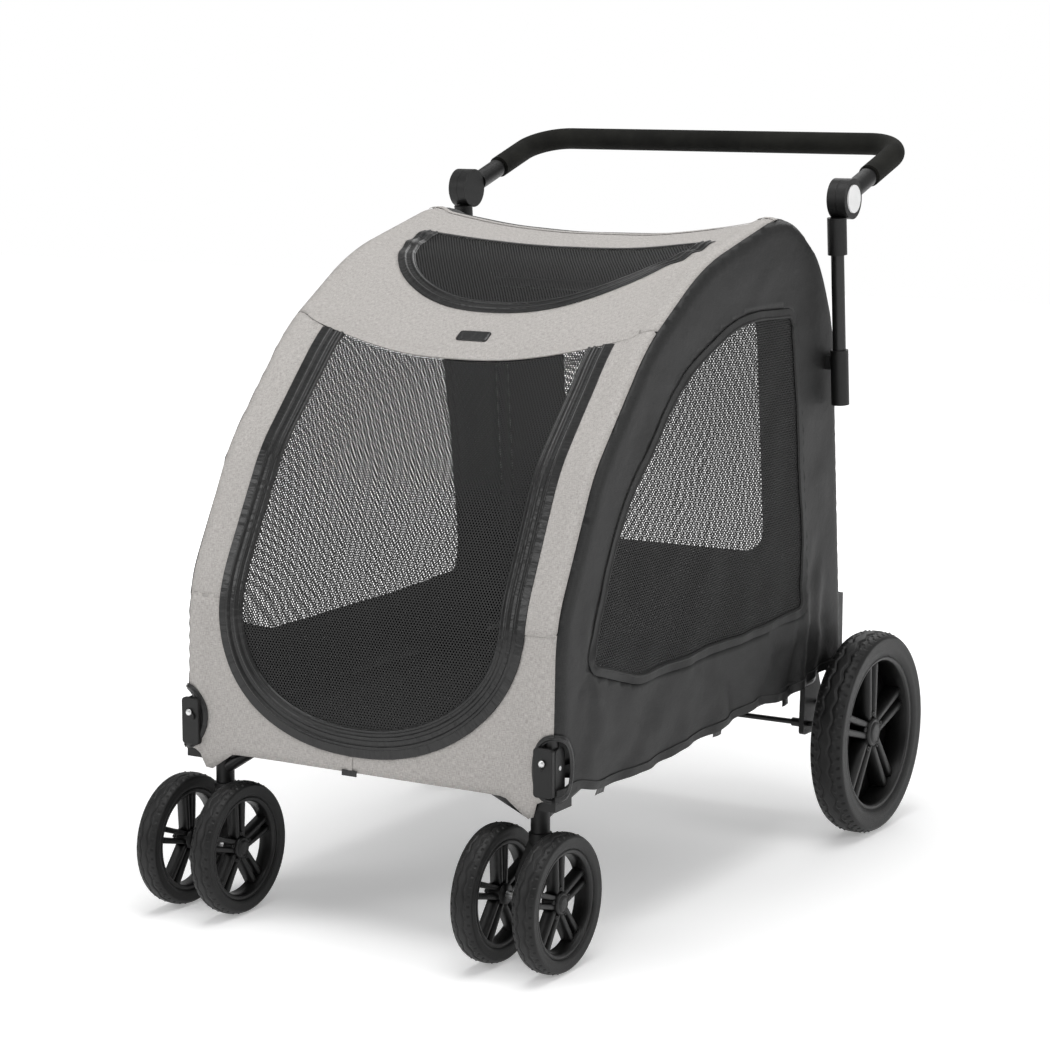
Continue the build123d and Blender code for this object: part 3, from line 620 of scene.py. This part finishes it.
def inside_loop(points, loop):
    """Which points lie inside a closed loop."""
    points, hit = np.asarray(points, float), np.zeros(len(points), bool)
    for (ax, ay), (bx, by) in zip(loop, np.roll(loop, -1, axis=0)):
        crosses = (ay > points[:, 1]) != (by > points[:, 1])
        with np.errstate(divide="ignore", invalid="ignore"):
            edge = (bx - ax) * (points[:, 1] - ay) / (by - ay) + ax
        hit ^= crosses & (points[:, 0] < edge)
    return hit


def cut(loops, step):
    """Flat pattern piece: points and triangles inside the first loop and outside the others."""
    loops = [spaced(loop, step, closed=True) for loop in loops]
    border, edges = np.vstack(loops), []
    start = 0
    for loop in loops:
        edges += [(start + i, start + (i + 1) % len(loop)) for i in range(len(loop))]
        start += len(loop)
    low, high = border.min(axis=0), border.max(axis=0)
    rows = int((high[1] - low[1]) / (step * 0.866)) + 1
    fill = []
    for row in range(rows):
        u = np.arange(low[0] + (row % 2) * step / 2, high[0], step)
        fill.append(np.column_stack([u, np.full(len(u), low[1] + row * step * 0.866)]))
    fill = np.vstack(fill)
    keep = inside_loop(fill, loops[0])
    for loop in loops[1:]:
        keep &= ~inside_loop(fill, loop)
    fill = fill[keep]
    gap = np.min([np.min(((fill[:, None] - part[None]) ** 2).sum(axis=2), axis=1)
                  for part in np.array_split(border, max(1, len(border) // 200))], axis=0)
    fill = fill[gap > (0.55 * step) ** 2]
    points = [Vector(point) for point in np.vstack([border, fill])]
    flat, _, faces, *_ = geometry.delaunay_2d_cdt(points, edges, [], 0, 1e-7)
    flat, faces = np.array([tuple(v) for v in flat]), np.array([tuple(f) for f in faces])
    middles = flat[faces].mean(axis=1)
    keep = inside_loop(middles, loops[0])
    for loop in loops[1:]:
        keep &= ~inside_loop(middles, loop)
    return flat, faces[keep]


def area_of(flat, faces):
    a, b, c = flat[faces[:, 0]], flat[faces[:, 1]], flat[faces[:, 2]]
    return float(np.abs((b - a)[:, 0] * (c - a)[:, 1] - (b - a)[:, 1] * (c - a)[:, 0]).sum() / 2)


def thicken(points, faces, thick):
    """Close a cloth surface into a thin layer with a rim round its edges."""
    a, b, c = points[faces[:, 0]], points[faces[:, 1]], points[faces[:, 2]]
    lean = np.cross(b - a, c - a)
    normals = np.zeros_like(points)
    for corner in range(3):
        np.add.at(normals, faces[:, corner], lean)
    normals /= np.maximum(np.linalg.norm(normals, axis=1, keepdims=True), 1e-12)
    count = len(points)
    sides = {}
    for face in faces:
        for first, second in zip(face, np.roll(face, -1)):
            sides[(first, second)] = True
    rim = [(s, f, f + count, s + count) for f, s in sides if (s, f) not in sides]
    return np.vstack([points, points - normals * thick]), \
        [tuple(f) for f in faces] + [tuple(f[::-1] + count) for f in faces] + rim


def cloth(name, loops, place, material, step=0.010, thick=0.0012, lift=0.0):
    """A sheet of cloth cut to flat loops and put in its place."""
    flat, faces = cut(loops, step)
    points = place(flat, lift)
    size, area = flat.max(axis=0) - flat.min(axis=0), area_of(flat, faces)
    a, b, c = points[faces[0]]
    if np.cross(b - a, c - a) @ (a - np.array(CABIN_MIDDLE)) < 0:
        faces = faces[:, ::-1]
    if thick:
        points, faces = thicken(points, faces, thick)
        flat = np.vstack([flat, flat])
    piece = mesh_piece(name, points, faces, material, flat=flat)
    tuple(map(float, size))
    min(area, float(size[0] * size[1]))
    return piece


def ribbon(name, line, place, section, material, closed=False, step=0.006):
    """A strip sewn along a line on the cover: section is its (across, height) points."""
    line = spaced(line, step, closed)
    if closed:
        ahead, behind = np.roll(line, -1, axis=0), np.roll(line, 1, axis=0)
    else:
        ahead, behind = np.vstack([line[1:], line[-1:]]), np.vstack([line[:1], line[:-1]])
    along = ahead - behind
    along /= np.linalg.norm(along, axis=1, keepdims=True)
    normal = np.stack([-along[:, 1], along[:, 0]], axis=1)
    far = np.concatenate([[0], np.cumsum(np.linalg.norm(np.diff(line, axis=0), axis=1))])
    columns, flats = [], []
    for across, height in section:
        spot = line + normal * across
        columns.append(place(spot, height))
        flats.append(np.column_stack([far, np.full(len(far), across)]))
    points = np.stack(columns, axis=1).reshape(-1, 3)
    flat = np.stack(flats, axis=1).reshape(-1, 2)
    faces = grid_faces(len(line), len(section), wrap_rows=closed)
    return mesh_piece(name, points, faces, material, flat=flat)


def strip(half, height, bumps=(), base=0.0006):
    """Section of a flat tape with rounded edges; each bump is (across, radius, rise)."""
    xs = sorted({-half, -half * 0.96, half * 0.96, half}
                | {round(c + r * k / 4, 6) for c, r, _ in bumps for k in range(-5, 6)}
                | set(np.round(np.linspace(-half * 0.9, half * 0.9, 7), 6)))
    section = []
    for x in xs:
        rise = height if abs(x) < half else 0.0
        for c, r, top in bumps:
            if abs(x - c) < r:
                rise = max(rise, top * math.sqrt(1 - ((x - c) / r) ** 2))
        section.append((x, base + rise))
    return section


def fold_with_arch(piece):
    """Bake the piece's placing into its mesh, and work out each point's share of the arches' swing about the
    front pins.
    """
    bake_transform(piece)
    rest = np.array([v.co for v in piece.data.vertices])
    angle = np.arctan2(rest[:, 2] - PIVOT[1], rest[:, 1] - PIVOT[0])
    low, high = math.atan2(-0.0256, 0.831), math.atan2(0.3764, 0.795)
    share = np.clip((angle - low) / (high - low), 0, 1)
    share[angle < -math.pi / 2] = 1


def woven(name, low, high, thread, sheen, crease, rough):
    """Plain woven cloth with slubby yarns both ways, seen as a fine heather."""
    finish = Finish(name, {"Specular IOR Level": sheen})
    flat = finish.flat()
    warp = finish.node("Mapping", None, {"Vector": flat, "Scale": (1 / thread, 0.12 / thread, 1)})
    weft = finish.node("Mapping", None, {"Vector": flat, "Scale": (0.12 / thread, 1 / thread, 1)})
    yarns = finish.noise(warp, 1.0, 2) * 0.5 + finish.noise(weft, 1.0, 2) * 0.5
    tone = finish.noise(flat, 6, 3)
    share = (yarns - 0.5) * 2.6 + 0.5 + (tone - 0.5) * 0.12
    finish.feed("Base Color", finish.blend(share.ramp(0.1, 0.9), low, high))
    finish.feed("Roughness", yarns * 0.25 + rough)
    creases = finish.noise(flat, 28, 5, 0.6) * crease
    finish.bump(yarns * 0.4 + creases, 0.0009, 0.7)
    return finish.material


def air_mesh(name, pitch, hole, low, high):
    """Knitted net: round holes in staggered rows, with the surround showing through them."""
    finish = Finish(name, {"Specular IOR Level": 0.2})
    across, up = [finish.node("SeparateXYZ", None, {"Vector": finish.flat()}, out=axis) for axis in (0, 1)]
    rows = []
    for shift in (100.0, 100.5):
        u = (across / pitch + shift).fraction() - 0.5
        v = (up / (pitch * 1.5) + shift).fraction() - 0.5
        rows.append((u * u + v * v * 2.25).root())
    knit = rows[0].least(rows[1]).ramp(hole * 0.9, hole * 1.12)
    finish.feed("Alpha", knit)
    fuzz = finish.noise(finish.flat(), 1400, 2)
    finish.feed("Base Color", finish.blend(fuzz, low, high))
    finish.feed("Roughness", fuzz * 0.2 + 0.55)
    return finish.material


heather_grey = woven("heather_grey_cloth", (0.32, 0.304, 0.290, 1), (0.50, 0.480, 0.462, 1), thread=0.0008,
                     sheen=0.12, crease=0.5, rough=0.62)
charcoal = woven("charcoal_cloth", grey(0.006), grey(0.016), thread=0.0011, sheen=0.38, crease=2.2,
                 rough=0.42)


def coated_tape():
    """Coated zip tape: smooth, near black and a little shiny, with fine puckers along it."""
    finish = Finish("zip_tape")
    flat = finish.flat()
    puckers = finish.noise(finish.node("Mapping", None, {"Vector": flat, "Scale": (90, 26, 1)}), 1.0, 3)
    cloud = finish.noise(flat, 30, 3)
    finish.feed("Base Color", finish.blend(cloud.ramp(0.3, 0.7), grey(0.003), grey(0.008)))
    finish.feed("Roughness", cloud * 0.2 + 0.24)
    finish.bump(puckers, 0.0022, 0.8)
    return finish.material


tape_black = coated_tape()
net_black = air_mesh("air_mesh", 0.0045, 0.285, grey(0.012), grey(0.045))

# ------------------------------------------------------------------------------------------
# Front of the cover: a grey panel with two grey strips above it, and a zipped door of black net
# between them. The zip runs down both sides and round the sill, on a wide black tape with a
# piped inner edge. The front corners have a cut for the hinge.
# ------------------------------------------------------------------------------------------


SHOULDER_HIGH = 0.430
hem_run, shoulder = float(run_at_front(0.216)), float(run_at_front(SHOULDER_HIGH))


def bow(x, ahead=0.0):
    """Run of the hood's bowed front edge at x."""
    return run_at_depth(-0.236 + 0.051 * (np.asarray(x) / 0.289) ** 2 - ahead)


def door_edge(inset):
    """Half of the door's outline, hood edge to sill, moved inwards: (x, run) points."""
    wide, tall, bend = 0.236 - inset, 0.191 - inset, 2 / 2.15
    steps = np.linspace(0, math.pi / 2, 40)
    curve = np.column_stack([wide * np.cos(steps) ** bend, SHOULDER_HIGH - tall * np.sin(steps) ** bend])
    curve[:, 1] = run_at_front(curve[:, 1])
    top_x = 0.230 - inset
    return np.vstack([[(top_x, float(bow(top_x, 0.002)))], [(wide - 0.003, run_at_front(0.60))], curve])


def mirrored(half):
    """A line from the left top round to the right top, from its right half, its sill pulled to the left."""
    right = half[::-1]
    left = half.copy()
    left[:, 0] *= -1
    line = np.vstack([left, right[1:]])
    line[:, 0] -= 0.016 * ease((shoulder - line[:, 1]) / 0.19)
    return line


def top_edge(half, ahead, count=24):
    """The bowed edge from +half to -half, as (x, run) points without its ends."""
    x = np.linspace(half, -half, count)[1:-1]
    return np.column_stack([x, bow(x, ahead)])


BOOT_HALF, BOOT_TALL = 0.0275, 0.0400
hinge_run = float(run_at_front(PIVOT[1]))
boot_cut = [(SEAM - BOOT_HALF * math.sin(turn), hinge_run + BOOT_TALL * math.cos(turn))
            for turn in np.linspace(0, math.pi, 22)]
corner_tip = [(x, run_at_front(z)) for x, z in ((0.265, 0.2165), (0.257, 0.194), (0.248, 0.192))]
lower_half = np.array([(SEAM, shoulder)] + boot_cut + corner_tip + [(0.213, hem_run)])
opening = door_edge(0.004)
upper_side, lower_side = opening[:3], opening[2:]
front_loop = np.vstack([lower_half, (lower_half * (-1, 1))[::-1], mirrored(lower_side)])
front_cloths = [cloth("front_panel", [front_loop], place_band, heather_grey)]
for name, side in SIDES:
    foot = upper_side[-1] - (0, 0.004)
    outer_end = [foot, (SEAM, foot[1]), (SEAM, float(bow(SEAM, 0.001)))]
    strip_loop = np.vstack([upper_side, outer_end]) * (side, 1)
    front_cloths.append(cloth(f"front_strip_{name}", [strip_loop], place_band, heather_grey))
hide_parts("front_surround")
for piece in front_cloths:
    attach(piece, "arch")

outer_tape = ribbon("door_tape_fixed", mirrored(door_edge(0.005)), place_band,
                    strip(0.007, 0.0012), tape_black)
coil = ribbon("door_zip_coil", mirrored(door_edge(0.0125)), place_band,
              strip(0.0035, 0.001, [(0.0, 0.0030, 0.0034)]), tape_black)
for piece in (outer_tape, coil):
    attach(piece, "arch")
inner_tape = ribbon("door_tape", mirrored(door_edge(0.026)), place_band,
                    strip(0.0105, 0.0011, [(-0.001, 0.0035, 0.0042), (0.008, 0.0024, 0.0026)]), tape_black)
net_edge = mirrored(door_edge(0.034))
net_loop = np.vstack([net_edge, top_edge(abs(net_edge[0, 0]), 0.002)])
door_net = cloth("door_net", [net_loop], place_band, net_black, thick=0)
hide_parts("front_door")
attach(door_net, "door")
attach(inner_tape, "door")

# ------------------------------------------------------------------------------------------
# Hood: the grey roof between the side seams, with a half-round net skylight zipped into it, a
# folded front edge and a small blank patch sewn on just above that edge.
# ------------------------------------------------------------------------------------------

rear_run = float(run_at_depth(0.175))
hood_front = np.vstack([[(SEAM, float(bow(SEAM)))], top_edge(SEAM, 0.0), [(-SEAM, float(bow(SEAM)))]])
hood_back = np.column_stack([np.linspace(-SEAM, SEAM, 20), np.full(20, rear_run)])


SKYLIGHT_BACK = 0.064


def skylight_edge(inset):
    """Closed outline of the skylight in (x, run): straight at the back and bowed ahead."""
    half, ahead = 0.238 - inset, 0.216 - inset
    steps = np.linspace(0, math.pi, 60)
    x = half * np.sign(np.cos(steps)) * np.abs(np.cos(steps)) ** 0.94
    return np.column_stack([x, run_at_depth(SKYLIGHT_BACK - ahead * np.sin(steps) ** 0.86)])


hood = cloth("hood_cloth", [np.vstack([hood_front, hood_back]), skylight_edge(0.002)], place_band,
             heather_grey)
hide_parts("hood")
net = cloth("skylight_net", [skylight_edge(0.022)], place_band, net_black, thick=0)
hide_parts("skylight_panel")
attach(net, "skylight")
skylight_zip = ribbon("skylight_zip", skylight_edge(0.012), place_band,
                      strip(0.0125, 0.001, [(0.003, 0.0028, 0.0034), (-0.008, 0.0024, 0.0032)]), tape_black)
back_seam = [(0.228, run_at_depth(SKYLIGHT_BACK)), (-0.228, run_at_depth(SKYLIGHT_BACK))]
skylight_seam = ribbon("skylight_rear_seam", back_seam, place_band, strip(0.0025, 0.0012), tape_black)
front_fold = ribbon("hood_front_fold", top_edge(SEAM, -0.0045)[::-1], place_band,
                    strip(0.0065, 0.0010), heather_grey)
rear_fold = ribbon("hood_rear_fold", hood_back - np.array((0, 0.004)), place_band,
                   strip(0.005, 0.0010), heather_grey)
patch_left, patch_right, patch_low = -0.018, 0.031, float(run_at_depth(-0.208))
patch_high = patch_low + 0.021
patch_line = rounded([(patch_left, patch_low), (patch_right, patch_low), (patch_right, patch_high),
                      (patch_left, patch_high)], [0.003] * 4, closed=True)
patch = cloth("blank_patch", [patch_line], place_band, tape_black, step=0.004, lift=0.0016)
for piece in (hood, skylight_zip, skylight_seam, front_fold, rear_fold, patch):
    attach(piece, "arch")

# ------------------------------------------------------------------------------------------
# Back of the cover: charcoal polyester from the hood's rear edge over the top and down to the
# rear hem, with a net window. It hangs between the arches and the base.
# ------------------------------------------------------------------------------------------

back_low, back_corner = float(run_at_rear(HEM_REAR)), float(run_at_rear(0.252))
back_loop = np.array([(-SEAM, rear_run), (SEAM, rear_run), (SEAM, back_corner), (0.250, back_corner),
                      (0.235, back_low), (-0.235, back_low), (-0.250, back_corner), (-SEAM, back_corner)])


def back_window(grow):
    low, high, half = run_at_rear(0.400 - grow), run_at_rear(0.780 + grow), 0.170 + grow
    return rounded([(-half, high), (half, high), (half, low), (-half, low)], [0.04] * 4, closed=True)


back_panel = cloth("back_panel", [back_loop, back_window(0.0)], place_band, charcoal)
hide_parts("rear_panel_upper", "rear_panel_lower")
back_net = cloth("back_net", [back_window(0.004)], place_band, net_black, thick=0, lift=-0.001)
back_binding = ribbon("back_window_binding", back_window(0.003), place_band, strip(0.006, 0.0012),
                      tape_black, closed=True)
back_hem = ribbon("back_hem", [(-0.236, back_low - 0.006), (0.236, back_low - 0.006)],
                  place_band, strip(0.006, 0.001), tape_black)
for piece, slot in ((back_panel, "black_fabric"), (back_net, "mesh"), (back_binding, "black_fabric"),
                    (back_hem, "black_fabric")):
    fold_with_arch(piece)

# ------------------------------------------------------------------------------------------
# Sides of the cover: charcoal polyester that rolls over the arch tubes from the top seams, with
# a long bound net window each side, a hem that dips between the corners, and a bound round
# opening about each front hinge.
# ------------------------------------------------------------------------------------------

window_corners = [(0.203, 0.786), (0.030, 0.792), (-0.135, 0.722), (-0.296, 0.568), (-0.358, 0.440),
                  (-0.378, 0.372), (-0.250, 0.334), (0.100, 0.337), (0.247, 0.344), (0.252, 0.404)]
window_bends = [0.022, 0.34, 0.28, 0.30, 0.20, 0.022, 0.12, 0.5, 0.022, 0.25]
hem_corners = [(-0.404, 0.2270), (-0.350, 0.213), (-0.205, 0.212), (-0.075, 0.222), (0.110, 0.234),
               (0.200, 0.223), (0.290, 0.240), (0.397, 0.252)]
hem_bends = [0.15, 0.3, 0.6, 0.15, 0.12, 0.2]


def moved_out(points, by):
    """A closed loop grown outwards by that much."""
    along = np.roll(points, -1, axis=0) - np.roll(points, 1, axis=0)
    along /= np.maximum(np.linalg.norm(along, axis=1, keepdims=True), 1e-9)
    normal = np.stack([along[:, 1], -along[:, 0]], axis=1)
    grown = points + normal * by
    turn = np.roll(points, -1, axis=0)
    twice = (points[:, 0] * turn[:, 1] - turn[:, 0] * points[:, 1]).sum()
    return grown if twice > 0 else points - normal * by


overhang = ROLL * (math.pi / 2 - 1 - SEAM_TURN)
above_boot = run >= hinge_run + BOOT_TALL
above_hem = (run < run[crest]) | (profile[:, 1] > hem_corners[-1][1])
seam_line = (profile + outward * overhang)[above_boot & above_hem]
seam_y = seam_line[0, 0]
boot_turn = np.linspace(math.pi, 0, 22)
boot_line = np.column_stack([seam_y + 0.0315 * np.sin(boot_turn), PIVOT[1] + BOOT_TALL * np.cos(boot_turn)])
hem_line = rounded([(seam_y + 0.002, PIVOT[1] - BOOT_TALL + 0.001)] + hem_corners, [0.06] + hem_bends)
side_loop = np.vstack([seam_line, hem_line[::-1], boot_line])
window_line = rounded(window_corners, window_bends, closed=True)

piping = strip(0.004, 0.0018, [(0, 0.003, 0.0032)])

for name, side in SIDES:
    place = place_side(side)
    panel = cloth(f"side_panel_{name}", [side_loop, window_line], place, charcoal)
    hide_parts(f"side_panel_upper_{name}", f"side_panel_lower_{name}")
    window = cloth(f"side_net_{name}", [moved_out(window_line, 0.004)], place, net_black, thick=0,
                   lift=-0.001)
    binding = ribbon(f"side_window_binding_{name}", moved_out(window_line, -0.004), place,
                     strip(0.0065, 0.0012, [(0.0045, 0.002, 0.0024)]), charcoal, closed=True)
    hem = ribbon(f"side_hem_{name}", hem_line + np.array((0, 0.006)), place, strip(0.006, 0.0010), charcoal)
    boot = ribbon(f"boot_binding_{name}", boot_line, place, piping, tape_black)
    front_boot = ribbon(f"boot_front_{name}", np.array(boot_cut) * (side, 1), place_band, piping, tape_black)
    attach(front_boot, "arch")
    for piece, slot in ((panel, "black_fabric"), (window, "mesh"), (binding, "black_fabric"),
                        (hem, "black_fabric"), (boot, "black_fabric")):
        fold_with_arch(piece)

# ------------------------------------------------------------------------------------------
# Small parts on the cover and its corners: a domed steel rivet in each front lock plate, a seam
# and tab at the middle of the front hem, and elastic tabs that hold the side hems down.
# ------------------------------------------------------------------------------------------

tab_middles = ((-0.340, 0.2110), (-0.030, 0.2245), (0.200, 0.2210))
dome, dome_faces = lathe([(-math.cos(turn) * 0.0022, math.sin(turn) * 0.0046)
                          for turn in np.linspace(0.02, math.pi / 2, 7)], 24)

for name, side in SIDES:
    low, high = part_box(f"front_lock_{name}")
    centre = Vector(((low.x + high.x) / 2, low.y + 0.0002, low.z * 0.3 + high.z * 0.7))
    rivet = mesh_piece(f"lock_rivet_{name}", [centre + Vector((y, x, z)) for x, y, z in dome],
                       [quad[::-1] for quad in dome_faces], bright_steel)
    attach(rivet, f"lock_{name}")
    for index, (y, z) in enumerate(tab_middles):
        tab = ribbon(f"side_tab_{name}_{index}", [(y - 0.012, z), (y + 0.012, z)], place_side(side),
                     strip(0.006, 0.0012, base=-0.0012), tape_black)
        fold_with_arch(tab)
hem_seam = ribbon("hem_seam", [(-0.024, hem_run + 0.002), (-0.024, float(run_at_front(0.236)))], place_band,
                  strip(0.0035, 0.0006), heather_grey)
hem_tab = ribbon("hem_tab", [(-0.036, hem_run - 0.001), (-0.012, hem_run - 0.001)], place_band,
                 strip(0.004, 0.0012), tape_black)
for piece, slot in ((hem_seam, "grey_fabric"), (hem_tab, "black_fabric")):
    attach(piece, "arch")

# ------------------------------------------------------------------------------------------
# Inside: a plain floor board with a charcoal lining laid on it, and a charcoal quilted mat,
# tufted in rows, on top of that.
# ------------------------------------------------------------------------------------------


def padded_mat():
    low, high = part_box("floor_mat")
    half_x, half_y = (high.x - low.x) / 2, (high.y - low.y) / 2
    centre_y, rows, columns = (low.y + high.y) / 2, 72, 50
    top, bottom = [], []
    for i in range(rows + 1):
        for j in range(columns + 1):
            u, v = j / columns * 2 - 1, i / rows * 2 - 1
            x, y = half_x * math.copysign(abs(u) ** 0.96, u), half_y * math.copysign(abs(v) ** 0.96, v)
            edge = max(0.0, 1 - max(abs(u), abs(v)) ** 14)
            quilt = abs(math.sin(x / 0.085 * math.pi) * math.sin(y / 0.085 * math.pi)) ** 0.5
            rise = (high.z - low.z) * (0.35 + 0.65 * quilt) * edge ** 0.5
            top.append((x, centre_y + y, low.z + rise))
            bottom.append((x, centre_y + y, low.z))
    faces = grid_faces(rows + 1, columns + 1)
    count = len(top)
    faces += [tuple(index + count for index in face[::-1]) for face in faces]
    ring = [j for j in range(columns + 1)] + [i * (columns + 1) + columns for i in range(1, rows + 1)]
    ring += [rows * (columns + 1) + j for j in range(columns - 1, -1, -1)]
    ring += [i * (columns + 1) for i in range(rows - 1, 0, -1)]
    for first, second in zip(ring, ring[1:] + ring[:1]):
        faces.append((second, first, first + count, second + count))
    flat = [(x, y) for x, y, _ in top] * 2
    return mesh_piece("mat_pad", top + bottom, [f[::-1] for f in faces], charcoal, flat=flat)


board_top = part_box("floor_board")[1].z
lining_right = [(0.258, -0.444), (0.258, -0.424), (0.2905, -0.424), (0.2905, 0.356), (0.258, 0.356),
                (0.258, 0.380)]
lining_left = [(-x, y) for x, y in reversed(lining_right)]


def place_floor(flat, lift):
    """Flat points laid on the board, a hair above it."""
    return np.column_stack([flat, np.full(len(flat), board_top + 0.0004 + lift)])


lining = cloth("floor_lining", [lining_right + lining_left], place_floor, charcoal, step=0.03, thick=0.0003)
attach(lining, "base")
mat = padded_mat()
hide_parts("floor_mat")
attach(mat, "base")
coat("floor_board", material=nylon("board_black", 0.02, 0.6))

# ------------------------------------------------------------------------------------------
# Handle: a foam-sleeved bar on two tilting joints, each with a white push button, over posts
# that slide in the rear catches.
# ------------------------------------------------------------------------------------------


def foam():
    finish = Finish("grip_foam", {"Specular IOR Level": 0.15})
    where = finish.place()
    cells = finish.noise(where, 700, 4, 0.65)
    cloud = finish.noise(where, 20, 3)
    dark, worn = (0.008, 0.008, 0.007, 1), (0.015, 0.015, 0.013, 1)
    finish.feed("Base Color", finish.blend(cloud.ramp(0.3, 0.7), dark, worn))
    finish.feed("Roughness", cells * 0.2 + 0.75)
    finish.bump(cells, 0.0006)
    return finish.material


def white_plastic():
    finish = Finish("button_white")
    cloud = finish.noise(finish.place(), 40, 3)
    finish.feed("Base Color", finish.blend(cloud, grey(0.74), grey(0.82)))
    finish.feed("Roughness", cloud * 0.15 + 0.25)
    return finish.material


coat("handle_grip", material=foam())
coat("tilt_button_left", "tilt_button_right", material=white_plastic())

# ------------------------------------------------------------------------------------------
# The floor of the studio.
# ------------------------------------------------------------------------------------------


def pale_floor_painted_glow():
    finish = Finish("studio_floor", {"Emission Strength": 1.0})
    where = finish.place()
    x, y = [finish.node("SeparateXYZ", None, {"Vector": where}, out=axis) for axis in (0, 1)]
    cloud, far = finish.noise(where, 1.5, 2), (x * x + y * y).root().ramp(0.7, 2.6)
    # Painted glow: the floor emits light, faintly near the stroller and more strongly further out. This
    # stands in for lamp light that falls off with distance, so the floor reads as an even white, and the
    # faint glow near the stroller also lights it a little from below.
    finish.feed("Emission Color", finish.blend(far, grey(0.28), grey(0.72)))
    finish.feed("Base Color", finish.blend(cloud, grey(0.93), grey(0.95)))
    finish.feed("Roughness", cloud * 0.1 + 0.75)
    return finish.material


REACH = 9
floor_corners = [(-REACH, -REACH, 0), (REACH, -REACH, 0), (REACH, REACH, 0), (-REACH, REACH, 0)]
floor = mesh_piece("studio_floor", floor_corners, [(0, 1, 2, 3)], pale_floor_painted_glow(), smooth=False)
